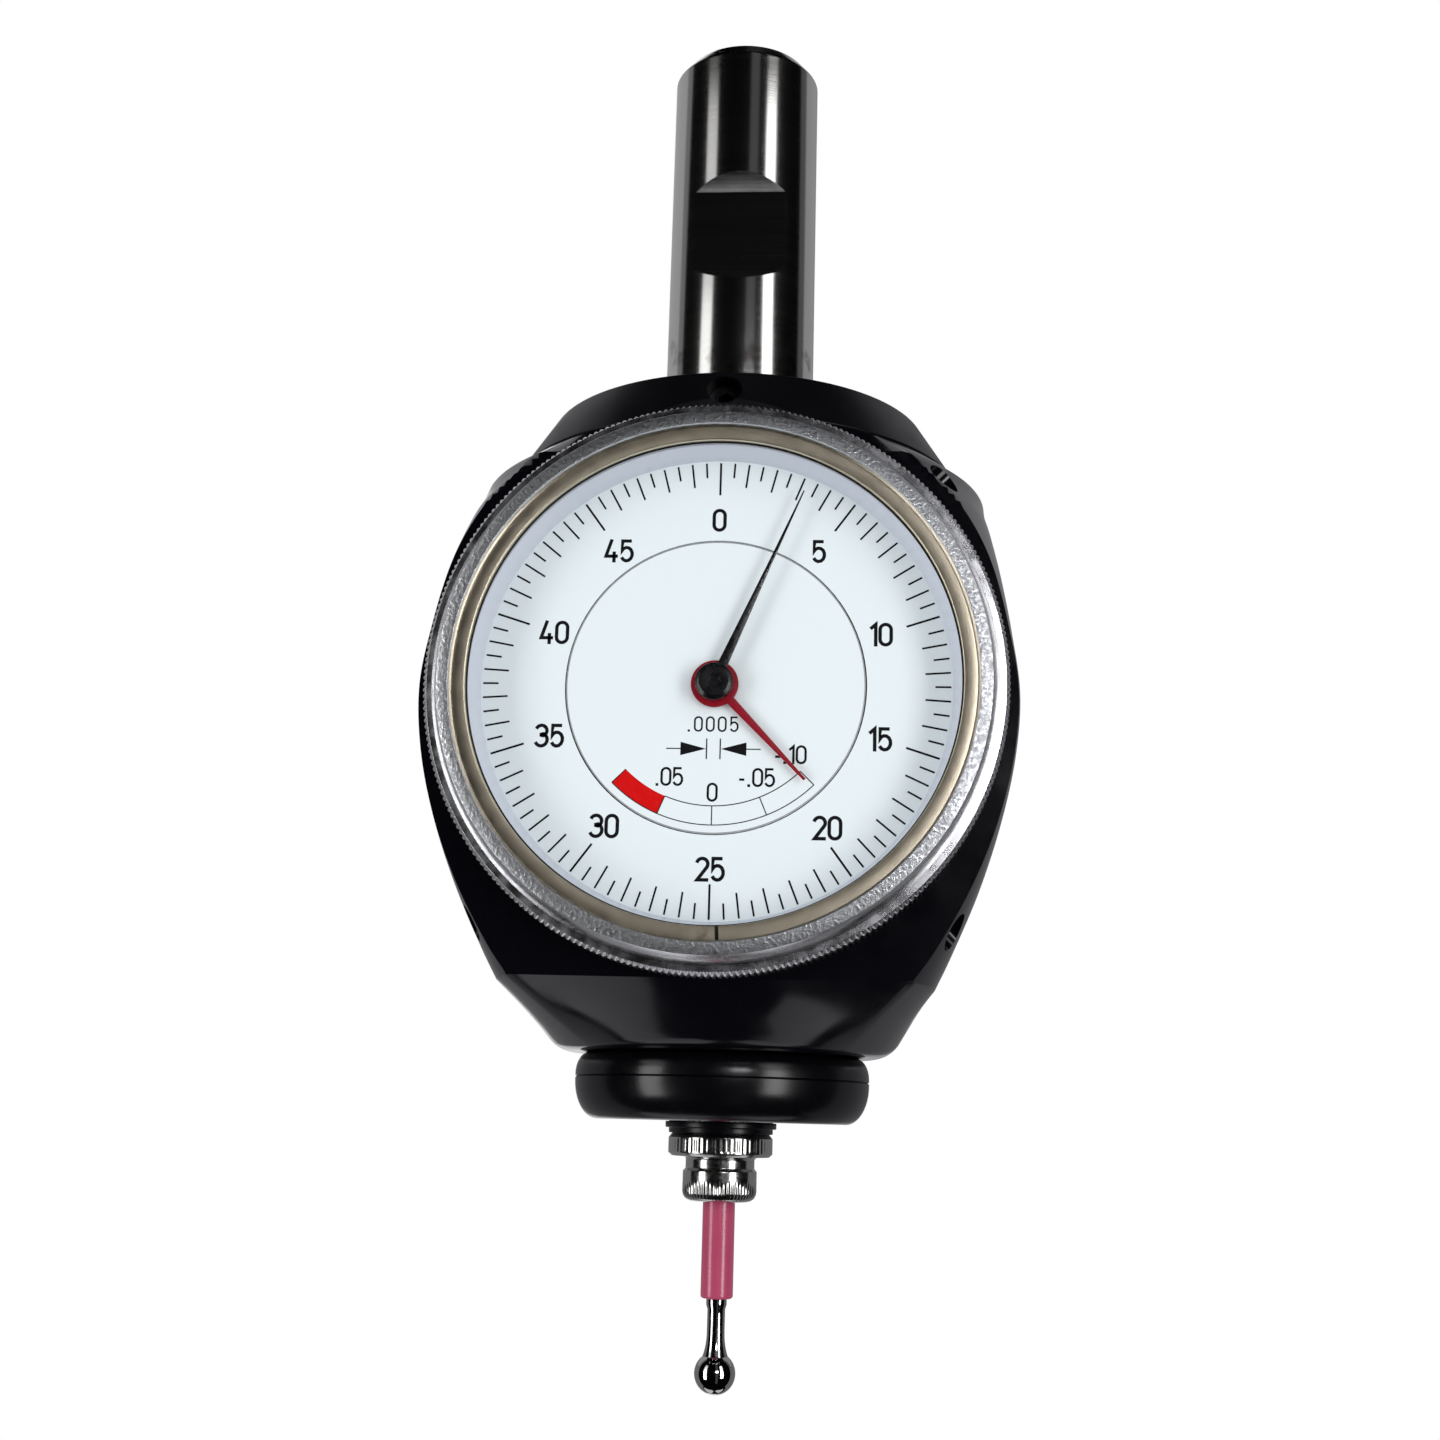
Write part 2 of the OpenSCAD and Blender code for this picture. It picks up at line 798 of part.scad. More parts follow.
// Boot: a hollow rubber ring with a mould line, drawn in to a lip round the holder
module boot() {
    line_z = boot_top - boot_h * boot_line_share;
    color([0.1, 0.1, 0.1])
        rotate_extrude()
            difference() {
                union() {
                    translate([0, boot_bottom + boot_round])
                        square([boot_r, boot_h - boot_round - boot_shoulder]);
                    translate([0, boot_bottom])
                        square([boot_r - boot_round, boot_h]);
                    translate([boot_r - boot_round, boot_bottom + boot_round])
                        circle(boot_round);
                    translate([boot_r - boot_shoulder, boot_top - boot_shoulder])
                        circle(boot_shoulder);
                    translate([0, boot_top - boot_shoulder])
                        square([boot_r - boot_shoulder, boot_shoulder]);
                }
                translate([0, boot_bottom - overrun])
                    square([neck_r + lip_gap, boot_h + 2 * overrun]);
                translate([0, boot_top - boot_wall - overrun])
                    square([boot_mouth_r, boot_h]);
                translate([neck_r, boot_bottom + boot_wall])
                    square([boot_r - boot_wall - neck_r, boot_h - 2 * boot_wall]);
                translate([boot_r - boot_line_depth, line_z])
                    square([boot_r, boot_line_w]);
            }
}

module plunger() {
    color("lightgray")
        difference() {
            union() {
                translate([0, 0, yoke_bottom])
                    cylinder(h = plunger_top - yoke_bottom, r = plunger_r);
                translate([0, 0, yoke_bottom])
                    cylinder(h = yoke_t, r = bore_r - yoke_gap);
                for (s = [-1, 1])
                    translate([s > 0 ? ear_in : -ear_out, -ear_w / 2, pivot_z - ear_drop])
                        cube([ear_out - ear_in, ear_w, yoke_top - pivot_z + ear_drop]);
            }
            translate([0, 0, yoke_bottom + yoke_t])
                cylinder(h = plunger_top - yoke_bottom, r = plunger_bore_r);
            translate([-body_r, 0, pivot_z])
                rotate([0, quarter, 0])
                    cylinder(h = 2 * body_r, r = pin_r + running_gap);
        }
}

// Rack bar on an arm with a clamp ring that grips the plunger
module rack() {
    root_x = -rack_pinion_r - tooth_depth;
    tip_x = -rack_pinion_r + tooth_rise;
    half_root = rack_pitch * tooth_share / 2 + tooth_depth * tan(pressure_turn);
    half_tip = rack_pitch * tooth_share / 2 - tooth_rise * tan(pressure_turn);
    bar_low = clamp_top - clamp_h;
    low_tooth = ceil((bar_low + dial_drop + rack_pitch) / rack_pitch);
    high_tooth = floor((rack_top + dial_drop - rack_pitch) / rack_pitch);
    color("lightgray") {
        translate([0, 0, bar_low])
            difference() {
                union() {
                    cylinder(h = clamp_h, r = clamp_r);
                    translate([rack_back_x, -rack_front_z, 0])
                        cube([root_x - rack_back_x, rack_front_z, clamp_h]);
                }
                translate([0, 0, -overrun])
                    cylinder(h = clamp_h + 2 * overrun, r = plunger_r);
            }
        translate([rack_back_x, -rack_front_z, bar_low])
            cube([root_x - rack_back_x, rack_front_z - rack_back_z, rack_top - bar_low]);
        dial_frame()
            translate([0, 0, rack_back_z])
                linear_extrude(rack_front_z - rack_back_z)
                    for (i = [low_tooth : high_tooth])
                        translate([0, (i + 1 / 2) * rack_pitch])
                            polygon([
                                [root_x - skin, -half_root], [tip_x, -half_tip],
                                [tip_x, half_tip], [root_x - skin, half_root]
                            ]);
    }
}

// Corners of a coil's wire: one ring of sides at each step round the axis
function coil_points(mean_r, wire_r, low, high, turns) = [
    for (i = [0 : turns * coil_steps])
        let (a = i * 360 / coil_steps, z = low + (high - low) * i / (turns * coil_steps))
        for (k = [0 : wire_sides - 1])
            let (b = k * 360 / wire_sides, q = mean_r + wire_r * cos(b))
            [q * cos(a), q * sin(a), z + wire_r * sin(b)]
];
function coil_faces(turns) = concat(
    [[for (k = [0 : wire_sides - 1]) k]],
    [
        for (i = [0 : turns * coil_steps - 1])
            for (k = [0 : wire_sides - 1])
                let (
                    a = i * wire_sides + k,
                    b = i * wire_sides + (k + 1) % wire_sides
                )
                each [[a, a + wire_sides, b], [b, a + wire_sides, b + wire_sides]]
    ],
    [[for (k = [wire_sides - 1 : -1 : 0]) turns * coil_steps * wire_sides + k]]
);

module return_spring() {
    wire_r = spring_wire_d / 2;
    low = clamp_top + spring_gap + wire_r;
    high = upper_bush_top - upper_bush_l - spring_gap - wire_r;
    color("gray")
        polyhedron(
            points = coil_points(spring_mean_r, wire_r, low, high, spring_turns),
            faces = coil_faces(spring_turns)
        );
}

module coarse_arbor() {
    color("goldenrod")
        dial_frame()
            difference() {
                union() {
                    translate([0, 0, sleeve_back])
                        cylinder(h = coarse_pointer_z + coarse_pointer_t - sleeve_back, r = sleeve_r);
                    translate([0, 0, pinion_z])
                        gear(rack_pinion_teeth, rack_pinion_r, pinion_t);
                    translate([0, 0, coarse_wheel_z])
                        wheel(wheel_t);
                }
                translate([0, 0, sleeve_back - overrun])
                    cylinder(h = front_flat, r = main_arbor_r + running_gap);
            }
}

module step_arbor() {
    leaf_r = gear_module * leaf_teeth / 2;
    color("goldenrod")
        dial_frame()
            translate([arbor_gap, 0, 0]) {
                translate([0, 0, back_plate_z])
                    cylinder(h = front_plate_z + plate_t - back_plate_z, r = step_arbor_r);
                translate([0, 0, coarse_wheel_z - leaf_extra])
                    rotate(180 + 180 / leaf_teeth)
                        gear(leaf_teeth, leaf_r, wheel_t + 2 * leaf_extra);
                translate([0, 0, main_wheel_z])
                    rotate(180)
                        wheel(wheel_t);
            }
}

module main_arbor() {
    leaf_r = gear_module * leaf_teeth / 2;
    color("goldenrod")
        dial_frame() {
            translate([0, 0, back_plate_z])
                cylinder(h = main_pointer_z + main_pointer_t - back_plate_z, r = main_arbor_r);
            translate([0, 0, main_wheel_z - leaf_extra])
                rotate(180 / leaf_teeth)
                    gear(leaf_teeth, leaf_r, wheel_t + 2 * leaf_extra);
        }
}

module coarse_pointer() {
    color([0.75, 0.08, 0.12])
        dial_frame()
            rotate(-coarse_pointer_turn)
                translate([0, 0, coarse_pointer_z])
                    linear_extrude(coarse_pointer_t)
                        difference() {
                            union() {
                                circle(coarse_hub_r);
                                polygon([
                                    [-coarse_arm_w / 2, 0], [coarse_arm_w / 2, 0],
                                    [coarse_tip_w / 2, coarse_pointer_l],
                                    [-coarse_tip_w / 2, coarse_pointer_l]
                                ]);
                            }
                            circle(sleeve_r);
                        }
}

module main_pointer() {
    waist_y = main_pointer_l * main_waist_share;
    color([0.05, 0.05, 0.05])
        dial_frame()
            rotate(-main_pointer_turn)
                translate([0, 0, main_pointer_z])
                    linear_extrude(main_pointer_t)
                        difference() {
                            union() {
                                circle(main_hub_r);
                                polygon([
                                    [-main_arm_w / 2, 0], [main_arm_w / 2, 0],
                                    [main_waist_w / 2, waist_y],
                                    [main_tip_w / 2, main_pointer_l],
                                    [-main_tip_w / 2, main_pointer_l],
                                    [-main_waist_w / 2, waist_y]
                                ]);
                            }
                            circle(main_arbor_r);
                        }
}

module hub_cap() {
    color([0.05, 0.05, 0.05])
        dial_frame()
            translate([0, 0, main_pointer_z + main_pointer_t])
                rotate_extrude()
                    polygon([
                        [0, 0], [hub_cap_r, 0], [hub_cap_r, hub_cap_h - hub_cap_round],
                        [hub_cap_r - hub_cap_round, hub_cap_h], [0, hub_cap_h]
                    ]);
}

module gimbal_ring() {
    color("silver")
        difference() {
            translate([0, 0, pivot_z - gimbal_h / 2])
                tube(gimbal_out, gimbal_in, gimbal_h);
            for (a = [0, quarter])
                rotate(a)
                    translate([-body_r, 0, pivot_z])
                        rotate([0, quarter, 0])
                            cylinder(h = 2 * body_r, r = pin_r);
        }
}

// Two pins run in the yoke's ears, two in the holder's hub
module gimbal_pins() {
    color("silver") {
        for (s = [0, 2])
            rotate(s * quarter)
                translate([gimbal_in, 0, pivot_z])
                    rotate([0, quarter, 0])
                        cylinder(h = ear_out - gimbal_in, r = pin_r);
        for (s = [1, 3])
            rotate(s * quarter)
                translate([pin_in, 0, pivot_z])
                    rotate([0, quarter, 0])
                        cylinder(h = gimbal_out - pin_in, r = pin_r);
    }
}

module probe_holder() {
    color([0.09, 0.09, 0.1])
        difference() {
            union() {
                translate([0, 0, hub_bottom])
                    cylinder(h = hub_top - hub_bottom, r = hub_r);
                translate([0, 0, nut_top])
                    cylinder(h = hub_bottom - nut_top, r = neck_r);
                translate([0, 0, collar_top - collar_h])
                    cylinder(h = collar_h, r = collar_r);
            }
            translate([0, -hub_r - overrun, pivot_z])
                rotate([-quarter, 0, 0])
                    cylinder(h = 2 * (hub_r + overrun), r = pin_r + running_gap);
            translate([0, 0, nut_top - overrun])
                cylinder(h = stud_l + 2 * overrun, r = stud_r);
        }
}

module probe_nut() {
    flange_r2 = nut_flange_d / 2;
    collar_r2 = nut_collar_d / 2;
    flange_low = nut_top - nut_flange_h;
    collar_high = flange_low - nut_neck_h;
    color([0.8, 0.8, 0.82])
        difference() {
            rotate_extrude()
                polygon(concat(
                    [
                        [0, nut_top + stud_l], [stud_r, nut_top + stud_l], [stud_r, nut_top],
                        [flange_r2 - nut_bevel, nut_top], [flange_r2, nut_top - nut_bevel],
                        [flange_r2, flange_low + nut_bevel], [flange_r2 - nut_bevel, flange_low],
                        [nut_neck_r, flange_low], [nut_neck_r, collar_high],
                        [collar_r2 - nut_bevel, collar_high], [collar_r2, collar_high - nut_bevel]
                    ],
                    corner_arc(collar_r2 - nut_round, nut_bottom + nut_round, nut_round),
                    [[0, nut_bottom]]
                ));
            translate([0, 0, nut_bottom - overrun])
                cylinder(h = rod_seat_l + overrun, d = rod_d);
        }
}

module ceramic_rod() {
    color([0.72, 0.25, 0.4])
        difference() {
            rotate_extrude()
                union() {
                    translate([0, rod_bottom + rod_round])
                        square([rod_d / 2, rod_l + rod_seat_l - rod_round]);
                    translate([0, rod_bottom])
                        square([rod_d / 2 - rod_round, 2 * rod_round]);
                    translate([rod_d / 2 - rod_round, rod_bottom + rod_round])
                        circle(rod_round);
                }
            translate([0, 0, rod_bottom - overrun])
                cylinder(h = stem_seat_l + overrun, r = stem_seat_r);
        }
}

// The stem flares into a tangent cup on the ball
module ball_stem() {
    cup_r = ball_r * cos(flare_turn);
    cup_z = ball_z + ball_r * sin(flare_turn);
    color("silver")
        difference() {
            rotate_extrude()
                polygon([
                    [0, rod_bottom + stem_seat_l], [stem_seat_r, rod_bottom + stem_seat_l],
                    [stem_seat_r, rod_bottom], [stem_d / 2, rod_bottom],
                    [stem_d / 2, cup_z + flare_l],
                    [stem_d / 2 + (cup_r - stem_d / 2) / 3, cup_z + flare_l / 2],
                    [cup_r, cup_z],
                    [0, cup_z]
                ]);
            translate([0, 0, ball_z])
                sphere(ball_r);
        }
}

module probe_ball() {
    color([0.3, 0.3, 0.32])
        translate([0, 0, ball_z])
            sphere(ball_r);
}

shank();
top_cap();
cap_screws();
centring_screws();
housing();
bezel_screws();
lower_bush();
upper_bush();
front_plate();
back_plate();
pillars();
plate_screws();
dial_centre();
boot();
bezel();
crystal();
snap_ring();
reflector_ring();
dial_ring();
plunger();
rack();
return_spring();
coarse_arbor();
coarse_pointer();
step_arbor();
main_arbor();
main_pointer();
hub_cap();
gimbal_ring();
gimbal_pins();
probe_holder();
probe_nut();
ceramic_rod();
ball_stem();
probe_ball();
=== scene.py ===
# Looks of the dial positioning indicator. Sizes below are in millimetres and are turned to metres
# where a mesh is made.
import json
from math import acos, asin, atan2, cos, hypot, pi, radians, sin, sqrt, tan

import bmesh
import bpy
from mathutils import Matrix, Vector


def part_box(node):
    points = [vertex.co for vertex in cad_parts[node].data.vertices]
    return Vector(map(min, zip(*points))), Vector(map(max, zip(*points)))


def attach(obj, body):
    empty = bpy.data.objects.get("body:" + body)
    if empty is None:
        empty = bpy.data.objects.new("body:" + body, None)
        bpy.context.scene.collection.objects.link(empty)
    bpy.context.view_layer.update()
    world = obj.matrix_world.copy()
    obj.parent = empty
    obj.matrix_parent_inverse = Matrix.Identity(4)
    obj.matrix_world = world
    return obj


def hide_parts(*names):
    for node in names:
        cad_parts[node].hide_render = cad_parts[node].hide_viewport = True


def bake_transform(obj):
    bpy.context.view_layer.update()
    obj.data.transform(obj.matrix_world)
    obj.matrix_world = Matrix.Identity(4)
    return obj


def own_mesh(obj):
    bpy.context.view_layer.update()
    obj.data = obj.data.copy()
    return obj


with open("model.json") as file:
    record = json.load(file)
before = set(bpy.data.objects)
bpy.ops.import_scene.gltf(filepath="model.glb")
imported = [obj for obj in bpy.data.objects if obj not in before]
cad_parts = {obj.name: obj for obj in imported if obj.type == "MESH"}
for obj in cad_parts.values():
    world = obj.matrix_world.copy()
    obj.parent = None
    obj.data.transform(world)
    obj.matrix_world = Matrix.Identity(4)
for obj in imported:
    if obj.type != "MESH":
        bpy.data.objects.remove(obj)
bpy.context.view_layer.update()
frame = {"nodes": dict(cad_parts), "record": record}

MM = 0.001
TURN = 2 * pi
# A cutting tool runs past what it cuts by this or a multiple of it
OVERRUN = 1.0

# Heights along the spindle axis and radii round it, read from the CAD nodes


def low(node):
    return [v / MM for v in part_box(node)[0]]


def high(node):
    return [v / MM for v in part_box(node)[1]]


def span(node):
    """Back and front of a node, counted out of the dial's face."""
    return -high(node)[1], -low(node)[1]


DIAL_Z = (low("dial_ring")[2] + high("dial_ring")[2]) / 2
DIAL_FACE = -low("dial_ring")[1]
BODY_TOP = high("housing")[2]
BODY_BOTTOM = low("housing")[2]
BODY_H = BODY_TOP - BODY_BOTTOM
FRONT_FLAT = -low("housing")[1]
SHANK_R = 7.9375
SHANK_TOP = high("shank")[2]
BOOT_TOP = high("boot")[2]
BOOT_BOTTOM = low("boot")[2]
BOOT_R = high("boot")[0]


# Mesh helpers


def add_object(name, data):
    thing = bpy.data.objects.new(name, data)
    bpy.context.scene.collection.objects.link(thing)
    return thing


def mesh_object(name, verts, faces, scale=MM):
    mesh = bpy.data.meshes.new(name)
    mesh.from_pydata([Vector(v) * scale for v in verts], [], faces)
    return add_object(name, mesh)


def tidy_mesh(piece, angle=30, merge=1e-7):
    """Merges doubles, turns the faces outward and smooths all edges flatter than angle."""
    bm = bmesh.new()
    bm.from_mesh(piece.data)
    bmesh.ops.remove_doubles(bm, verts=bm.verts, dist=merge)
    bmesh.ops.recalc_face_normals(bm, faces=bm.faces)
    limit = radians(angle)
    for face in bm.faces:
        face.smooth = True
    for edge in bm.edges:
        edge.smooth = len(edge.link_faces) == 2 and edge.calc_face_angle(pi) < limit
    bm.to_mesh(piece.data)
    bm.free()
    return piece


def axis_z(r, a, h):
    return (r * cos(a), r * sin(a), h)


def axis_dial(r, a, h):
    """A point on the dial's axis system: h counts out of the face, the angle from +X to up."""
    return (r * cos(a), -h, DIAL_Z + r * sin(a))


def ring_faces(rings, closed=False):
    """Faces between neighbouring rings. A ring that repeats one point is a pole."""
    steps = len(rings[0])
    faces = []
    for one, two in zip(rings, rings[1:] + rings[:1] if closed else rings[1:]):
        for i in range(steps):
            j = (i + 1) % steps
            face = [one[i], one[j], two[j], two[i]]
            face = [v for k, v in enumerate(face) if v != face[k - 1]]
            if len(face) > 2:
                faces.append(face)
    return faces


def tube_faces(sides, count):
    """Faces of a tube of count lengths with closed ends, from sections of as many points as sides."""
    faces = []
    for i in range(count):
        for k in range(sides):
            a, b = i * sides + k, i * sides + (k + 1) % sides
            faces.append((a, b, b + sides, a + sides))
    faces.append(tuple(range(sides)))
    faces.append(tuple(range(count * sides, (count + 1) * sides)))
    return faces


def lathe(name, profile, place=axis_z, steps=192, radius=None):
    """Revolves a profile of (r, h) points. Closed if its ends meet, else both ends lie on the axis."""
    ring = radius or (lambda r, a, h: r)
    closed = profile[0] == profile[-1]
    points = profile[:-1] if closed else profile
    verts, rows = [], []
    for r, h in points:
        if r <= 0:
            rows.append([len(verts)] * steps)
            verts.append(place(0, 0, h))
            continue
        rows.append([len(verts) + i for i in range(steps)])
        for i in range(steps):
            a = TURN * i / steps
            verts.append(place(ring(r, a, h), a, h))
    return mesh_object(name, verts, ring_faces(rows, closed))


# A rounded corner takes this share of a side whose other end is sharp, and of one that it shares
ALONE_SHARE = 0.98
HALF_SHARE = 0.49
# Half the angle at a corner, in radians, over which the corner counts as straight
STRAIGHT = 1.54


def rounded(points, radius, arc=4):
    """Rounds the inner corners of an open outline with arcs. radius is one value or one for each corner."""
    radii = radius if isinstance(radius, list) else [radius] * (len(points) - 2)
    sizes = [0] + radii + [0]
    out = [points[0]]
    for k in range(1, len(points) - 1):
        here = Vector(points[k])
        back = Vector(points[k - 1]) - here
        on = Vector(points[k + 1]) - here
        half = back.angle(on, pi) / 2
        if sizes[k] <= 0 or half > STRAIGHT:
            out.append(tuple(here))
            continue
        room = min(back.length * (ALONE_SHARE if sizes[k - 1] <= 0 else HALF_SHARE),
                   on.length * (ALONE_SHARE if sizes[k + 1] <= 0 else HALF_SHARE))
        reach = min(sizes[k] / tan(half), room)
        size = reach * tan(half)
        centre = here + (back.normalized() + on.normalized()).normalized() * size / sin(half)
        start = here + back.normalized() * reach - centre
        end = here + on.normalized() * reach - centre
        turn = start.angle_signed(end)
        for i in range(arc + 1):
            out.append(tuple(centre + Matrix.Rotation(-turn * i / arc, 2) @ start))
    out.append(points[-1])
    return out


def closed_outline(points, radius, arc=4):
    """Rounds every corner of a closed outline but the first, where it starts and ends."""
    return rounded(points + [points[0]], radius, arc)


def cut(piece, *tools):
    """Takes the tools away from the piece and deletes them."""
    for tool in tools:
        step = piece.modifiers.new("cut", "BOOLEAN")
        step.operation = "DIFFERENCE"
        step.solver = "EXACT"
        step.object = tool
    bpy.context.view_layer.update()
    shape = piece.evaluated_get(bpy.context.evaluated_depsgraph_get())
    mesh = bpy.data.meshes.new_from_object(shape)
    piece.modifiers.clear()
    piece.data = mesh
    for tool in tools:
        bpy.data.objects.remove(tool)


def rod(r, h0, h1, place=axis_z, steps=64):
    return tidy_mesh(lathe("tool", [(0, h0), (r, h0), (r, h1), (0, h1)], place, steps))


def turned(piece, matrix):
    piece.data.transform(matrix)
    return piece


def radial_rod(r, start, end, axis, turn, place):
    """A rod that lies across an axis through place, turned round that axis."""
    lying = Matrix.Rotation(turn, 4, axis) @ Matrix.Rotation(pi / 2, 4, "Y")
    return turned(rod(r, start, end), Matrix.Translation([v * MM for v in place]) @ lying)


# Materials


def add_node(tree, kind, **values):
    """A new shader node with some of its inputs set."""
    node = tree.nodes.new(kind)
    set_inputs(node, values)
    return node


def set_inputs(node, values):
    for key, value in values.items():
        node.inputs[key.replace("_", " ")].default_value = value


def combined(tree, operation, a, b):
    node = tree.nodes.new("ShaderNodeMath")
    node.operation = operation
    tree.links.new(a, node.inputs[0])
    tree.links.new(b, node.inputs[1])
    return node.outputs["Value"]


def mix_to(tree, out, share, one, two):
    """Mixes two shaders by share and links the mix to the output."""
    mix = tree.nodes.new("ShaderNodeMixShader")
    for k, source in enumerate((share, one, two)):
        tree.links.new(source, mix.inputs[k])
    tree.links.new(mix.outputs[0], out.inputs["Surface"])


class Look:
    """Builds one material step by step."""

    def __init__(self, name, color, rough, metal=0.0, **sockets):
        self.mat = bpy.data.materials.new(name)
        self.mat.use_nodes = True
        self.tree = self.mat.node_tree
        self.shader = self.tree.nodes["Principled BSDF"]
        set_inputs(self.shader, {"Base Color": (*color, 1), "Roughness": rough, "Metallic": metal, **sockets})
        self.place = self.tree.nodes.new("ShaderNodeTexCoord").outputs["Object"]
        self.normal = None

    def link(self, a, b):
        self.tree.links.new(a, b)

    def noise(self, scale, detail=3.0, stretch=(1, 1, 1), rough=0.5):
        mapping = add_node(self.tree, "ShaderNodeMapping", Scale=stretch)
        self.link(self.place, mapping.inputs["Vector"])
        node = add_node(self.tree, "ShaderNodeTexNoise", Scale=scale, Detail=detail, Roughness=rough)
        self.link(mapping.outputs["Vector"], node.inputs["Vector"])
        return node.outputs["Fac"]

    def band(self, value, start, end, low_value=0.0, high_value=1.0):
        node = add_node(self.tree, "ShaderNodeMapRange", From_Min=start, From_Max=end, To_Min=low_value,
                        To_Max=high_value)
        self.link(value, node.inputs["Value"])
        return node.outputs["Result"]

    def tint(self, value, other):
        """Mixes the base colour towards other by value."""
        node = self.tree.nodes.new("ShaderNodeMix")
        node.data_type = "RGBA"
        source = self.shader.inputs["Base Color"]
        if source.links:
            self.link(source.links[0].from_socket, node.inputs["A"])
        else:
            node.inputs["A"].default_value = source.default_value
        node.inputs["B"].default_value = (*other, 1)
        self.link(value, node.inputs["Factor"])
        self.link(node.outputs["Result"], source)

    def roughness(self, value):
        self.link(value, self.shader.inputs["Roughness"])

    def bump(self, value, distance, strength=1.0):
        node = add_node(self.tree, "ShaderNodeBump", Distance=distance, Strength=strength)
        self.link(value, node.inputs["Height"])
        if self.normal:
            self.link(self.normal, node.inputs["Normal"])
        self.normal = node.outputs["Normal"]
        self.link(self.normal, self.shader.inputs["Normal"])

    def height(self):
        split = self.tree.nodes.new("ShaderNodeSeparateXYZ")
        self.link(self.place, split.inputs["Vector"])
        return split.outputs["Z"]


def ground_steel():
    look = Look("ground_steel", (0.62, 0.615, 0.60), 0.13, 1.0)
    rings = look.noise(900, 4, (0.02, 0.02, 8))
    look.roughness(look.band(rings, 0.3, 0.7, 0.09, 0.18))
    look.bump(rings, 0.000004, 0.5)
    foot = look.band(look.height(), 0.004, 0.014, 1.0, 0.0)
    spots = look.band(look.noise(420, 5), 0.54, 0.68)
    look.tint(combined(look.tree, "MULTIPLY", foot, spots), (0.16, 0.12, 0.09))
    return look.mat


def black_anodised(name="black_anodised", rough=0.13):
    look = Look(name, (0.0020, 0.0021, 0.0035), rough, Specular_IOR_Level=0.32)
    grain = look.noise(5200, 2)
    look.roughness(look.band(look.noise(260, 4), 0.3, 0.7, rough - 0.03, rough + 0.04))
    look.tint(look.band(grain, 0.35, 0.75, 0, 0.35), (0.004, 0.004, 0.006))
    look.bump(grain, 0.000003, 0.3)
    return look.mat


def bezel_silver():
    look = Look("bezel_silver", (0.72, 0.72, 0.74), 0.24, 1.0)
    turning = look.noise(700, 3, (1, 12, 1))
    look.roughness(look.band(turning, 0.3, 0.7, 0.18, 0.34))
    look.bump(turning, 0.000005, 0.4)
    return look.mat


def blasted_silver():
    look = Look("blasted_silver", (0.42, 0.43, 0.45), 0.42, 1.0)
    grit = look.noise(2600, 2, rough=0.7)
    look.tint(look.band(grit, 0.42, 0.68), (0.86, 0.87, 0.89))
    look.roughness(look.band(grit, 0.4, 0.7, 0.46, 0.26))
    look.bump(grit, 0.00007, 1.0)
    return look.mat


def dial_paint():
    look = Look("dial_paint", (0.81, 0.885, 0.91), 0.5)
    look.tint(look.band(look.noise(900, 3), 0.3, 0.8, 0, 0.25), (0.78, 0.86, 0.885))
    look.bump(look.noise(6000, 2), 0.000003, 0.4)
    return look.mat


# flat paint for the dial's print, and for the grey painted shade at the centre disc's edge
def ink_and_painted_shade(name, color):
    look = Look(name, color, 0.6, Specular_IOR_Level=0.06)
    paler = tuple(min(1, c * 1.4 + 0.01) for c in color)
    look.tint(look.band(look.noise(3000, 2), 0.45, 0.8, 0, 0.3), paler)
    return look.mat


def clear_glass():
    look = Look("clear_glass", (1, 1, 1), 0.0, 0.0, Transmission_Weight=1.0, IOR=1.12)
    look.bump(look.noise(60, 1), 0.000001, 0.2)
    # only what is seen from outside is bent; light and reflections from the dial pass straight
    path = look.tree.nodes.new("ShaderNodeLightPath")
    seen = combined(look.tree, "MAXIMUM", path.outputs["Is Camera Ray"], path.outputs["Is Transmission Ray"])
    clear = look.tree.nodes.new("ShaderNodeBsdfTransparent")
    mix_to(look.tree, look.tree.nodes["Material Output"], seen, clear.outputs[0], look.shader.outputs[0])
    return look.mat


def lacquer(name, color, rough=0.3, **sockets):
    look = Look(name, color, rough, **sockets)
    look.roughness(look.band(look.noise(1500, 3), 0.3, 0.7, rough - 0.06, rough + 0.08))
    look.bump(look.noise(4000, 2), 0.000003, 0.4)
    return look.mat


def metal(name, color, rough, scale=1200, spread=0.07):
    look = Look(name, color, rough, 1.0)
    grain = look.noise(scale, 3)
    look.roughness(look.band(grain, 0.3, 0.7, max(0.02, rough - spread), rough + spread))
    look.tint(look.band(look.noise(300, 4), 0.4, 0.8, 0, 0.3), tuple(c * 0.8 for c in color))
    look.bump(grain, 0.000003, 0.4)
    return look.mat


def boot_rubber():
    look = Look("boot_rubber", (0.0016, 0.0017, 0.0026), 0.2, Specular_IOR_Level=0.4)
    grain = look.noise(3800, 3)
    look.roughness(look.band(look.noise(220, 4), 0.3, 0.7, 0.18, 0.27))
    look.tint(look.band(grain, 0.5, 0.8, 0, 0.4), (0.006, 0.006, 0.008))
    look.bump(grain, 0.000008, 0.5)
    return look.mat


def pink_ceramic():
    look = Look("pink_ceramic", (0.42, 0.055, 0.125), 0.24, 0.0, Coat_Weight=0.3, Coat_Roughness=0.1)
    streak = look.noise(900, 4, (1, 1, 0.15))
    look.tint(look.band(streak, 0.4, 0.75, 0, 0.5), (0.53, 0.095, 0.18))
    look.bump(look.noise(5000, 2), 0.000004, 0.4)
    return look.mat


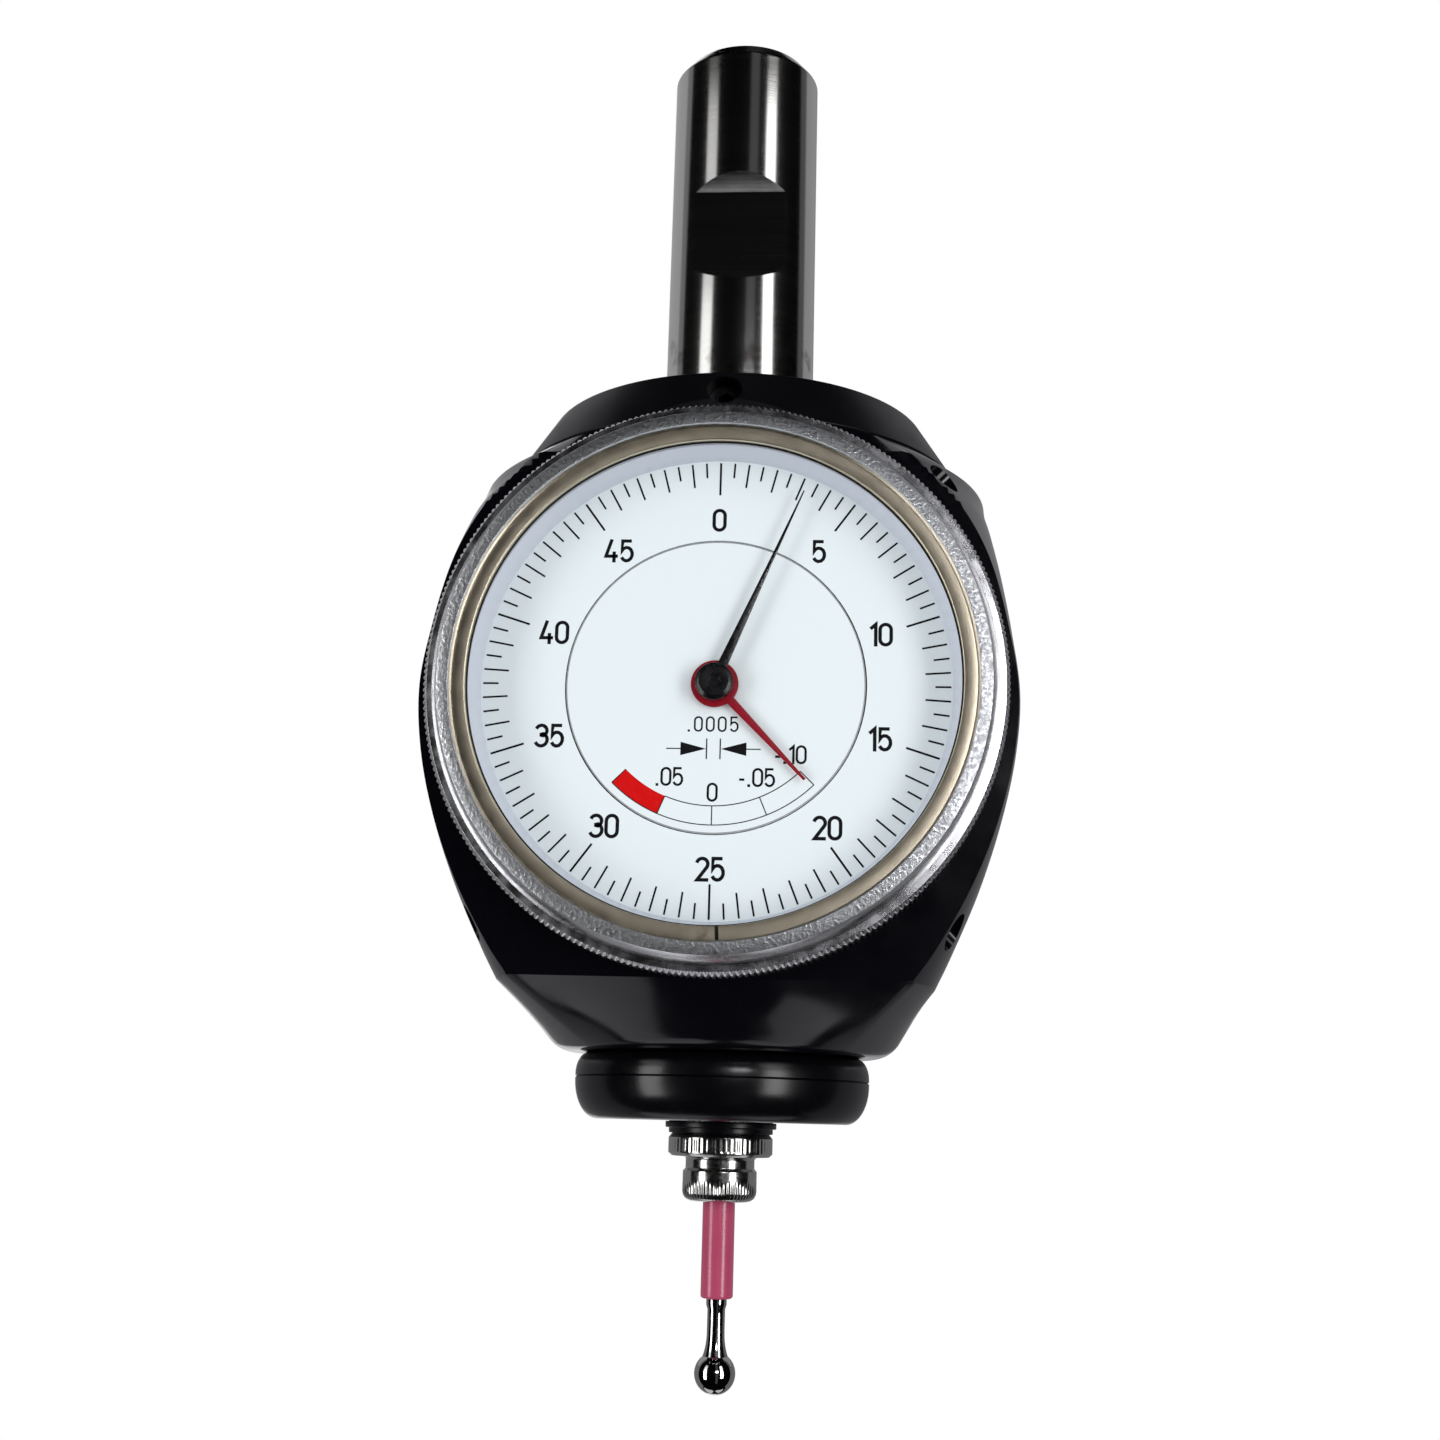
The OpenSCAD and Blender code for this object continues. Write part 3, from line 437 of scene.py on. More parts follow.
LOOKS = {
    "shank_steel": ground_steel(),
    "black_body": black_anodised(),
    "black_screws": black_anodised("black_oxide", 0.3),
    "bronze": metal("bronze", (0.42, 0.27, 0.12), 0.35),
    "movement_brass": metal("movement_brass", (0.72, 0.52, 0.22), 0.26),
    "bright_screws": metal("bright_screws", (0.6, 0.6, 0.61), 0.25),
    "dial_white": dial_paint(),
    "bezel_metal": bezel_silver(),
    "crystal": clear_glass(),
    "ring_tan": metal("ring_tan", (0.74, 0.655, 0.50), 0.33, 900, spread=0.03),
    "reflector": lacquer("reflector_pale", (0.62, 0.66, 0.74), 0.35),
    "guide_steel": metal("guide_steel", (0.56, 0.56, 0.58), 0.2),
    "spring_steel": metal("spring_steel", (0.35, 0.35, 0.37), 0.3),
    "pointer_red": lacquer("pointer_red", (0.25, 0.004, 0.014), 0.4, Specular_IOR_Level=0.12),
    "pointer_black": lacquer("pointer_black", (0.004, 0.004, 0.005), 0.28),
    "boot_rubber": boot_rubber(),
    "holder_black": black_anodised("holder_black", 0.28),
    "nut_chrome": metal("nut_chrome", (0.60, 0.595, 0.58), 0.17, 2500, spread=0.04),
    "ceramic": pink_ceramic(),
    "stem_steel": metal("stem_steel", (0.5, 0.5, 0.5), 0.12),
    "ball_steel": metal("ball_steel", (0.54, 0.54, 0.54), 0.06, 1200, spread=0.03),
}
BLASTED = blasted_silver()
CAP_BLACK = black_anodised("cap_black", 0.34)
SEAL = lacquer("crystal_seal", (0.006, 0.006, 0.007), 0.5)
INK = ink_and_painted_shade("dial_ink", (0.007, 0.007, 0.009))
RED_INK = ink_and_painted_shade("dial_red_ink", (0.62, 0.004, 0.004))
# grey for the painted shade of the gap round the dial's centre disc
GAP_SHADE = ink_and_painted_shade("dial_gap_painted_shade", (0.30, 0.30, 0.30))

BODY_OF = {n: b for b, names in frame["record"]["behaviour"]["bodies"].items() for n in names}
SLOT_OF = {s["node"]: s["material_slot"] for s in frame["record"]["subparts"]}


def dress(piece, body, look):
    piece.data.materials.clear()
    piece.data.materials.append(look)
    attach(piece, body)


def stand_for(piece, node, look=None):
    """The piece takes the node's place, body, slot and look."""
    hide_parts(node)
    dress(piece, BODY_OF[node], look or LOOKS[SLOT_OF[node]])


# Every CAD node first takes its slot's look; the pieces below replace many of them
for name, node_object in frame["nodes"].items():
    for material_slot in node_object.material_slots:
        material_slot.material = LOOKS[SLOT_OF[name]]


# Shank and cap


def make_shank():
    chamfer_h, chamfer_r = 1.6, 1.3
    flange_low, flange_top, flange_r = low("shank")[2], -1.3, high("shank")[1]
    relief_r = SHANK_R - 0.6
    centre_r, centre_deep = 1.5, 2.4
    outline = [(0, flange_low), (flange_r, flange_low), (flange_r, flange_top), (relief_r, flange_top),
               (relief_r, 0), (SHANK_R, 0), (SHANK_R, SHANK_TOP - chamfer_h),
               (SHANK_R - chamfer_r, SHANK_TOP), (centre_r, SHANK_TOP), (0, SHANK_TOP - centre_deep)]
    rounds = [0.2, 0.2, 0.1, 0.1, 0.1, 0.35, 0.3, 0.1]
    body = tidy_mesh(lathe("shank_turned", rounded(outline, rounds, 6)))
    # the side-lock flat, with run-out ramps of 45 degrees
    flat_l, flat_z, flat_y = 9.14, 22.0, 6.3375
    x, y = SHANK_R + OVERRUN, SHANK_R + 2 * OVERRUN
    z0, z1 = flat_z - flat_l / 2, flat_z + flat_l / 2
    ramp = y - flat_y
    corners = [(sx, sy, sz) for sx in (-x, x)
               for sy, sz in ((-y, z0 - ramp), (-y, z1 + ramp), (-flat_y, z0), (-flat_y, z1))]
    faces = [(0, 1, 3, 2), (4, 6, 7, 5), (0, 4, 5, 1), (2, 3, 7, 6), (0, 2, 6, 4), (1, 5, 7, 3)]
    cut(body, tidy_mesh(mesh_object("tool", corners, faces)))
    stand_for(tidy_mesh(body, 25), "shank")


# Set screws of the cap and of the bezel, and how far in front of the spindle axis the bezel's groove lies
SET_SCREW_R = 1.75
GROOVE_OUT = 19.8


def make_cap():
    top_r, low_r, h = 19.7, high("top_cap")[0], high("top_cap")[2] - low("top_cap")[2]
    hole_r, pocket_r, skin, edge = SHANK_R + 0.2, 13.0, 1.25, 0.2
    outline = closed_outline(
        [(pocket_r, -h), (pocket_r, -skin), (hole_r, -skin), (hole_r, 0), (top_r, 0), (low_r, edge - h),
         (low_r - edge, -h)],
        [0.05, 0.05, 0.15, 0.3, 0.08, 0.05], 5)
    cap = tidy_mesh(lathe("cap_turned", outline))
    screw_in, screw_place, outside = 12.6, (0, 0, -2.4), 30
    tools = [radial_rod(SET_SCREW_R, screw_in, outside, "Z", pi / 2 * i, screw_place) for i in range(4)]
    circle_r, head_r, head_low, bolt_r, bolt_low = 16.3, 2.9, -3.05, 1.55, -8
    for i in range(4):
        a = pi / 4 + pi / 2 * i
        spot = Matrix.Translation(axis_z(circle_r * MM, a, 0))
        tools.append(turned(rod(head_r, head_low, 3 * OVERRUN), spot))
        tools.append(turned(rod(bolt_r, bolt_low, OVERRUN), spot))
    flat_reach, flat_deep = 40, 20
    tools.append(rod(flat_reach, FRONT_FLAT, FRONT_FLAT + flat_deep, axis_dial))
    cut(cap, *tools)
    stand_for(tidy_mesh(cap, 25), "top_cap", CAP_BLACK)


# Housing: smooth levels between the CAD's rows, then the same cuts
SIDE_SHARES = (
    (0.052, 0.922, 0.148), (0.085, 0.922, 0.267), (0.137, 0.933, 0.460), (0.239, 0.956, 0.733),
    (0.341, 0.982, 0.869), (0.444, 1.000, 0.966), (0.546, 0.980, 1.000), (0.649, 0.932, 0.966),
    (0.751, 0.864, 0.869), (0.853, 0.774, 0.760), (0.898, 0.729, 0.700),
)
BACK_SHARES = (
    (0.052, 0.922), (0.137, 0.930), (0.307, 0.940), (0.444, 0.936), (0.580, 0.911), (0.717, 0.850),
    (0.853, 0.755), (0.898, 0.700),
)
BARREL_R = 28.1
BARREL_REACH = 17.6


def along(rows, column, at):
    """Smooth value between the rows, with the slopes of a natural curve."""
    xs = [row[0] for row in rows]
    ys = [row[column] for row in rows]
    if at <= xs[0]:
        return ys[0]
    if at >= xs[-1]:
        return ys[-1]
    k = max(i for i in range(len(xs) - 1) if xs[i] <= at)
    width = xs[k + 1] - xs[k]

    def slope(i):
        a, b = max(i - 1, 0), min(i + 1, len(xs) - 1)
        return (ys[b] - ys[a]) / (xs[b] - xs[a])

    t = (at - xs[k]) / width
    h00 = 2 * t ** 3 - 3 * t ** 2 + 1
    h10 = t ** 3 - 2 * t ** 2 + t
    h01 = 3 * t ** 2 - 2 * t ** 3
    h11 = t ** 3 - t ** 2
    return h00 * ys[k] + h10 * width * slope(k) + h01 * ys[k + 1] + h11 * width * slope(k + 1)


def reach_of(direction, front_r, centre, back_r, middle):
    """Distance from (0, -middle) to the outline of the hull of the front and the back circle."""
    origin = Vector((0, -middle))

    def circle_hit(cy, r):
        to = origin - Vector((0, cy))
        b = to.dot(direction)
        inside = b * b - to.length_squared + r * r
        return -b + sqrt(inside) if inside > 0 else 0

    best = max(circle_hit(-centre, front_r), circle_hit(0, back_r))
    if centre > abs(front_r - back_r) and centre > 0.01:
        ny = (front_r - back_r) / centre
        nx = sqrt(1 - ny * ny) * (1 if direction.x >= 0 else -1)
        normal = Vector((nx, ny))
        across = normal.dot(direction)
        if across > 1e-6:
            t = (back_r - normal.dot(origin)) / across
            y = (origin + direction * t).y
            y_back, y_front = normal.y * back_r, -centre + normal.y * front_r
            if y_front <= y <= y_back:
                best = t
    return best


def make_housing():
    steps, levels, cone_levels, foot_levels = 256, 72, 8, 10
    top_r, foot_in, foot_round = 23.35, 14.75, 3.3
    # levels whose front circle lies this near the axis are cut by the front flat straight away
    near_axis = 9
    first, belt = SIDE_SHARES[0][0], SIDE_SHARES[-1][0]
    top = [(top_r * sin(TURN * k / steps), -top_r * cos(TURN * k / steps), BODY_TOP)
           for k in range(steps)]
    outline = [[(0, 0, BODY_TOP)], top]
    for i in range(levels + 1):
        share = first + (belt - first) * i / levels
        front_r = BARREL_R * along(SIDE_SHARES, 1, share)
        centre = BARREL_REACH * along(SIDE_SHARES, 2, share)
        back_r = BARREL_R * along(BACK_SHARES, 1, share)
        cut_level = centre < near_axis or i == levels
        outline.append(housing_level(steps, share, front_r, centre, back_r, cut_level))
    flat_level = outline[-1]
    # the cone meets the round foot as a tangent, at an angle of its own in each direction
    starts = []
    for k, (x, y, z) in enumerate(flat_level):
        a = TURN * k / steps
        across = x * sin(a) - y * cos(a) - foot_in
        rise = z - BODY_BOTTOM - foot_round
        far = max(foot_round, hypot(across, rise))
        starts.append(max(0.0, acos(foot_round / far) - atan2(rise, across)))

    def foot_level(t):
        level = []
        for k, start in enumerate(starts):
            a, up = TURN * k / steps, start + (pi / 2 - start) * t
            r = foot_in + foot_round * cos(up)
            z = BODY_BOTTOM + foot_round - foot_round * sin(up)
            level.append((r * sin(a), -r * cos(a), z))
        return level

    for i in range(1, cone_levels + 1):
        t = i / cone_levels
        outline.append([tuple(p * (1 - t) + q * t for p, q in zip(one, two))
                        for one, two in zip(flat_level, foot_level(0))])
    for i in range(1, foot_levels + 1):
        outline.append(foot_level(i / foot_levels))
    outline.append([(0, 0, BODY_BOTTOM)])
    verts, rings = [], []
    for ring in outline:
        rings.append([len(verts) + i for i in range(len(ring))] if len(ring) > 1 else [len(verts)] * steps)
        verts += ring
    body = tidy_mesh(mesh_object("housing_body", verts, ring_faces(rings)), 30)
    recess_r, recess_floor, recess_end, bore_r = 24.5, 8, 60, 10.5
    screw_in, screw_end, flat_reach, flat_deep = 23.5, 50, 90, 30
    tools = [
        rod(flat_reach, FRONT_FLAT, FRONT_FLAT + flat_deep, axis_dial),
        rod(recess_r, recess_floor, recess_end, axis_dial, 192),
        rod(bore_r, BODY_BOTTOM - 5 * OVERRUN, BODY_TOP + 5 * OVERRUN, axis_z, 96),
    ]
    for i in range(4):
        turn = -pi / 4 - pi / 2 * i
        tools.append(radial_rod(SET_SCREW_R, screw_in, screw_end, "Y", turn, (0, -GROOVE_OUT, DIAL_Z)))
    cut(body, *tools)
    stand_for(tidy_mesh(body, 22), "housing")


def housing_level(steps, share, front_r, centre, back_r, flat):
    """One level of the housing as points spread by angle, cut by the front flat if flat is set."""
    middle = centre / 2
    z = BODY_TOP - BODY_H * share
    points = []
    for k in range(steps):
        a = TURN * k / steps
        direction = Vector((sin(a), -cos(a)))
        t = reach_of(direction, front_r, centre, back_r, middle)
        x, y = direction.x * t, -middle + direction.y * t
        if flat and y < -FRONT_FLAT:
            t = (FRONT_FLAT - middle) / -direction.y
            x, y = direction.x * t, -FRONT_FLAT
        points.append((x, y, z))
    return points


# Bezel and what turns with it


def make_bezel():
    bezel_r = high("bezel")[0]
    back, front = span("bezel")
    band_back, band_front, band_edge = 22.2, 24.6, 0.15
    teeth, depth = 288, 0.2
    seat, seat_h, lip, lip_back, lip_mid = 23.65, 21.9, 21.9, 21.1, 21.3
    clip_r, clip_low, clip_high = seat + 0.55, 25.75, 26.4
    slope_in, slope_r, slope_drop = seat + 0.25, seat + 1.35, 0.2
    step_r, step_top, step_low, shoulder_r = 25.65, 25.25, 24.95, 26.3
    spigot_r, spigot_in, groove_r, groove_half = 24.4, 22.6, 23.6, 0.8
    groove_low, groove_high = GROOVE_OUT - groove_half, GROOVE_OUT + groove_half
    outline = closed_outline(
        [(lip, lip_mid), (lip, seat_h), (seat, seat_h), (seat, clip_low), (clip_r, clip_low),
         (clip_r, clip_high), (seat, clip_high), (slope_in, front), (slope_r, front - slope_drop),
         (step_r + 0.07, step_top), (step_r, step_top), (step_r, step_low), (shoulder_r, step_low),
         (bezel_r - 0.12, band_front), (bezel_r, band_front - band_edge), (bezel_r, band_back + band_edge),
         (bezel_r - band_edge, band_back), (spigot_r, band_back), (spigot_r, groove_high),
         (groove_r, groove_high), (groove_r, groove_low), (spigot_r, groove_low), (spigot_r, back),
         (spigot_in, back), (spigot_in, lip_back), (lip, lip_back)],
        [0.05] * 6 + [0.06, 0.08, 0.15] + [0.04] * 3 + [0.05] * 13, 3)

    def fluted(r, a, h):
        if not (band_back - 0.01 < h < band_front + 0.01 and r > bezel_r - depth):
            return r
        phase = (a * teeth / TURN) % 1
        return r - depth * (1 - abs(2 * phase - 1)) ** 1.6

    ring = tidy_mesh(lathe("bezel_ring", outline, axis_dial, teeth * 6, fluted), 28)
    stand_for(ring, "bezel")
    second_look(ring, BLASTED, front - slope_drop - 0.01, slope_in - 0.01, slope_r)


def second_look(piece, look, out, inner, outer):
    """Gives look to the faces that lie further out than a height, between two radii round the dial."""
    piece.data.materials.append(look)
    for face in piece.data.polygons:
        r = hypot(face.center.x, face.center.z - DIAL_Z * MM) / MM
        if -face.center.y / MM > out and inner < r < outer:
            face.material_index = 1


def make_snap_ring():
    r0, r1, h0, h1 = 22.45, 24.15, 25.8, 26.35
    gap, gap_turn, steps = 0.35, -87.5, 192
    section = closed_outline([(r0, h0), (r0, h1), (r1, h1), (r1, h0)], 0.1, 3)[:-1]
    start = radians(gap_turn) + gap / 2 / r1
    verts = []
    for i in range(steps + 1):
        a = start + (TURN - gap / r1) * i / steps
        verts += [axis_dial(r, a, h) for r, h in section]
    ring = mesh_object("retaining_ring", verts, tube_faces(len(section), steps))
    stand_for(tidy_mesh(ring, 40), "snap_ring")


def make_crystal():
    r = high("crystal")[0]
    back, front = span("crystal")
    seal_r, seal_deep, edge = 22.3, 0.14, 0.15
    outline = rounded([(0, back), (r, back), (r, front), (seal_r, front), (0, front)], [edge, edge, 0], 4)
    disc = tidy_mesh(lathe("crystal_disc", outline, axis_dial), 40)
    stand_for(disc, "crystal")
    second_look(disc, SEAL, front - seal_deep, seal_r, r + OVERRUN)


def make_reflector():
    outer = high("reflector_ring")[0]
    back, front = span("reflector_ring")
    front_in, back_in = outer - 1.1, outer - 1.9
    outline = closed_outline([(outer, back), (outer, front), (front_in, front), (back_in, back)], 0.05, 3)
    stand_for(tidy_mesh(lathe("reflector_wall", outline, axis_dial), 40), "reflector_ring")


# Dial print, with a grey ring of painted shade at the gap round the centre disc. Strokes are flat bars a hair
# above the dial's face
INK_LIFT = 0.004
INK_T = 0.012


class Print:
    """Collects flat shapes in the dial's plane and turns them into one thin mesh."""

    def __init__(self):
        self.verts = []
        self.faces = []

    def area(self, points):
        """A flat shape with straight sides, made from its outline."""
        n = len(points)
        base = len(self.verts)
        for h in (DIAL_FACE + INK_LIFT, DIAL_FACE + INK_LIFT + INK_T):
            self.verts += [(x, -h, DIAL_Z + y) for x, y in points]
        self.faces.append(tuple(base + i for i in range(n)))
        self.faces.append(tuple(base + n + i for i in reversed(range(n))))
        for i in range(n):
            j = (i + 1) % n
            self.faces.append((base + i, base + j, base + n + j, base + n + i))

    def stroke(self, points, width, closed=False):
        """A line of even width with mitred corners, in short quads."""
        n = len(points)
        sides = []
        for i in range(n):
            here = Vector(points[i])
            back = here - Vector(points[i - 1]) if closed or i > 0 else None
            on = Vector(points[(i + 1) % n]) - here if closed or i < n - 1 else None
            a, b = ((v or other).normalized() for v, other in ((back, on), (on, back)))
            line = (a + b).normalized()
            normal = Vector((-line.y, line.x))
            mitre = max(0.35, abs(normal.dot(Vector((-b.y, b.x)))))
            sides.append((here + normal * width / 2 / mitre, here - normal * width / 2 / mitre))
        for i in range(n if closed else n - 1):
            p, q = sides[i], sides[(i + 1) % n]
            self.area([tuple(p[0]), tuple(p[1]), tuple(q[1]), tuple(q[0])])

    def ring(self, r, width, start, end, steps):
        points = [polar(r, start + (end - start) * i / steps) for i in range(steps + 1)]
        self.stroke(points, width)

    def make(self, name, body, look):
        piece = mesh_object(name, self.verts, self.faces)
        bm = bmesh.new()
        bm.from_mesh(piece.data)
        bmesh.ops.recalc_face_normals(bm, faces=bm.faces)
        bm.to_mesh(piece.data)
        bm.free()
        dress(piece, body, look)


def polar(r, degrees):
    """A point of the dial at a clockwise angle from the top."""
    a = radians(degrees)
    return (r * sin(a), r * cos(a))


def arc_points(cx, cy, rx, ry, start, end, steps=10):
    points = []
    for i in range(steps + 1):
        a = radians(start + (end - start) * i / steps)
        points.append((cx + rx * cos(a), cy + ry * sin(a)))
    return points


def digit_lines(sign, s):
    """Centre lines of a plain sans digit, 1 high, for the stroke width s. Returns lines and width."""
    top, bottom = 1 - s / 2, s / 2
    a = 0.225
    if sign == "0":
        line = arc_points(a, top - a, a, a, 180, 0) + arc_points(a, bottom + a, a, a, 0, -180)
        return [line + line[:1]], 2 * a
    if sign == "1":
        return [[(0.0, 0.74), (0.215, top), (0.215, 0.0)]], 0.23
    if sign == "2":
        bend = arc_points(a, top - a, a, a, 168, -32)
        return [bend + [(0.03, bottom), (2 * a + 0.03, bottom)]], 2 * a
    if sign == "3":
        r = 0.235
        upper = arc_points(r - 0.02, top - r + 0.01, r - 0.01, r - 0.01, 160, -70)
        lower = arc_points(r - 0.02, bottom + r + 0.025, r + 0.015, r + 0.025, 72, -158)
        return [upper + [(0.15, 0.535)], [(0.15, 0.535)] + lower], 2 * r
    if sign == "4":
        return [[(0.235, 1.0), (0.005, 0.27), (0.50, 0.27)], [(0.345, 0.47), (0.345, 0.0)]], 0.48
    if sign == "5":
        r = 0.235
        bowl = arc_points(r - 0.01, bottom + r + 0.055, r, r + 0.055, 128, -152)
        return [[(0.42, top), (0.045, top), (0.03, 0.50)] + bowl], 2 * r
    if sign == "-":
        return [[(0.0, 0.38), (0.27, 0.38)]], 0.27
    return [[(0.0, 0.07), (0.14, 0.07)]], 0.14


def write(ink, label, cx, cy, height, stroke_share, gap=0.16):
    """Plain scale numbers, centred on a point."""
    shapes = [(sign, *digit_lines(sign, stroke_share)) for sign in label]
    total = sum(width for _, _, width in shapes) + gap * (len(shapes) - 1)
    x = -total / 2
    for sign, lines, width in shapes:
        for line in lines:
            thick = 0.14 if sign == "." else stroke_share
            points = [(cx + (x + px) * height, cy + (py - 0.5) * height) for px, py in line]
            closed = len(points) > 3 and points[0] == points[-1]
            ink.stroke(points[:-1] if closed else points, thick * height, closed)
        x += width + gap


TICK_OUT = 21.48
TICK_INS = (18.31, 19.18, 20.04)
TICK_WS = (0.19, 0.17, 0.17)
NUMBER_R = 15.85
NUMBER_H = 2.25
# The lowest three numbers stand off the circle of the others
NUMBER_SHIFTS = {4: (1.1, -0.25), 5: (0, -1.1), 6: (-0.4, -0.35)}


def make_scale():
    ink = Print()
    ticks, numbers = 100, 10
    for i in range(ticks):
        kind = 0 if i % 10 == 0 else (1 if i % 2 == 0 else 2)
        a = 360 / ticks * i
        ink.stroke([polar(TICK_INS[kind], a), polar(TICK_OUT, a)], TICK_WS[kind])
    for k in range(numbers):
        x, y = polar(NUMBER_R, 360 / numbers * k)
        dx, dy = NUMBER_SHIFTS.get(k, (0, 0))
        write(ink, str(5 * k), x + dx, y + dy, NUMBER_H, 0.14)
    ink.make("scale_print", "bezel_unit", INK)


def make_centre_print():
    ink = Print()
    inner, outer, line_w = 11.2, 12.95, 0.09
    first, red_first, last, part = 135, 202.5, 225, 22.5
    ink.ring(outer, line_w, first, last, 60)
    ink.ring(inner, line_w, first, red_first, 45)
    for i in range(5):
        ink.stroke([polar(inner, first + part * i), polar(outer, first + part * i)], line_w)
    for label, x, y in ((".05", -3.95, -8.55), ("0", 0.0, -9.95), ("-.05", 4.0, -8.55), ("-.10", 7.0, -6.4)):
        write(ink, label, x, y, 1.75, 0.12)
    write(ink, ".0005", -0.1, -3.65, 1.45, 0.11, 0.3)
    arrow_y, bar = -5.95, 1.9
    for x in (-0.62, 0.62):
        ink.stroke([(x, arrow_y - bar / 2), (x, arrow_y + bar / 2)], 0.11)
    for s in (-1, 1):
        ink.stroke([(s * 4.3, arrow_y), (s * 2.9, arrow_y)], 0.1)
        ink.area([(s * 0.68, arrow_y), (s * 3.0, arrow_y + 0.62), (s * 3.0, arrow_y - 0.62)])
    ink.make("centre_print", "root", INK)
    red = Print()
    red_r, steps = outer - 0.05, 24
    for i in range(steps):
        a, b = (red_first + part * k / steps for k in (i, i + 1))
        red.area([polar(inner, a), polar(red_r, a), polar(red_r, b), polar(inner, b)])
    red.make("coarse_red_print", "root", RED_INK)
    # a thin grey ring at the centre disc's edge is painted shade of the gap between the centre disc and the
    # scale ring
    gap_shade = Print()
    gap_shade.ring(high("dial_centre")[0] - 0.06, 0.10, 0, 360, 180)
    gap_shade.make("centre_gap_painted_shade", "root", GAP_SHADE)


# Pointers


def plate_piece(name, outline, h0, h1, turn):
    """A flat piece with a bevelled upper edge, from a closed outline of the dial's plane."""
    bm = bmesh.new()
    spin = Matrix.Rotation(radians(-turn), 2)
    verts = []
    for x, y in outline:
        p = spin @ Vector((x, y))
        verts.append(bm.verts.new((p.x * MM, -h0 * MM, (DIAL_Z + p.y) * MM)))
    face = bm.faces.new(verts)
    grown = bmesh.ops.extrude_face_region(bm, geom=[face])
    for v in grown["geom"]:
        if isinstance(v, bmesh.types.BMVert):
            v.co.y = -h1 * MM
    bmesh.ops.recalc_face_normals(bm, faces=bm.faces)
    rim = [e for e in bm.edges if all(abs(v.co.y + h1 * MM) < 1e-7 for v in e.verts)]
    bmesh.ops.bevel(bm, geom=rim, offset=0.03 * MM, segments=2, affect="EDGES", profile=0.5)
    piece = mesh_object(name, [], [])
    bm.to_mesh(piece.data)
    bm.free()
    return tidy_mesh(piece, 35)


def hand_outline(hub_r, half_widths, steps=48):
    """Outline of a pointer that leaves its round hub upwards: half_widths is (height, half width)."""
    first_y, first_w = half_widths[0]
    meet = asin(min(1, first_w / hub_r))
    points = [(w, y) for y, w in reversed(half_widths)]
    points.append((first_w, hub_r * cos(meet)))
    for i in range(1, steps):
        a = pi / 2 - meet - (TURN - 2 * meet) * i / steps
        points.append((hub_r * cos(a), hub_r * sin(a)))
    points.append((-first_w, hub_r * cos(meet)))
    points += [(-w, y) for y, w in half_widths]
    return points


def make_pointers():
    # node, name, turn in degrees, hub radius, and heights with half widths
    hands = (
        ("main_pointer", "main_hand", 23.2, 1.3, [(1.6, 0.46), (12.4, 0.17), (20.0, 0.05)]),
        ("coarse_pointer", "coarse_hand", 136.5, 2.18, [(2.4, 0.40), (12.1, 0.12)]),
    )
    for node, name, turn, hub_r, half_widths in hands:
        stand_for(plate_piece(name, hand_outline(hub_r, half_widths), *span(node), turn), node)
    r = high("hub_cap")[0]
    h0, h1 = span("hub_cap")
    slope_h, dimple_deep = 0.22, 0.12
    flat_share, dimple_share, floor_share = 0.78, 0.34, 0.30
    outline = rounded(
        [(0, h0), (r, h0), (r, h1 - slope_h), (r * flat_share, h1), (r * dimple_share, h1),
         (r * floor_share, h1 - dimple_deep), (0, h1 - dimple_deep)],
        [0.03, 0.1, 0.12, 0.03, 0.03], 4)
    stand_for(tidy_mesh(lathe("hand_cap", outline, axis_dial, 96), 40), "hub_cap")


# Boot: its wall stays with the housing, its thin floor is made in wedges
FLEX_WEDGES = 12
FLEX_RINGS = (12.3, 9.7, 7.4)
WALL = 1.2
LIP_R = 5.2


def make_boot():
    r, z0, z1 = BOOT_R, BOOT_BOTTOM, BOOT_TOP
    line_z, line_half, line_deep = z1 - 2.35, 0.1, 0.12
    band_half, shoulder, mouth_r = 0.3, 1.25, 10.7
    floor_start = (FLEX_RINGS[0], z0 + WALL)
    deep = r - FLEX_RINGS[0]
    low_z, high_z = line_z - band_half, line_z + band_half
    quarter = [pi / 2 * k / 12 for k in range(13)]
    below = [(r - deep * (1 - cos(a)), low_z - (low_z - z0) * sin(a)) for a in reversed(quarter)]
    above = [(r - shoulder * (1 - cos(a)), high_z + (z1 - high_z) * sin(a)) for a in quarter]
    mould_line = [(r, line_z - line_half), (r - line_deep, line_z), (r, line_z + line_half)]
    inside = [(mouth_r, z1), (mouth_r, z1 - WALL), (r - WALL - 0.5, z1 - WALL), (r - WALL, z1 - WALL - 0.6),
              (r - WALL, z0 + WALL + 1), (r - WALL - 0.8, z0 + WALL)]
    outline = [floor_start] + below + mould_line + above + inside + [floor_start]
    stand_for(tidy_mesh(lathe("boot_wall", outline), 35), "boot")
    spans = ((FLEX_RINGS[0], FLEX_RINGS[1], "root", "plunger_unit", 11.8, 9.9),
             (FLEX_RINGS[1], FLEX_RINGS[2], "plunger_unit", "gimbal_unit", 9.3, 7.5),
             (FLEX_RINGS[2], LIP_R, "gimbal_unit", "probe_unit", 7.1, 5.4))
    for w in range(FLEX_WEDGES):
        middle = TURN * (w + 0.5) / FLEX_WEDGES
        for k, (outer, inner, one, two, start, end) in enumerate(spans):
            piece = wedge(f"boot_floor_{w}_{k}", outer, inner, middle, z0, z0 + WALL)
            dress(piece, one, LOOKS["boot_rubber"])
            piece.parent = None
            a, b = (Vector(axis_z(q, middle, z0)) * MM for q in (start, end))
            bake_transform(piece)


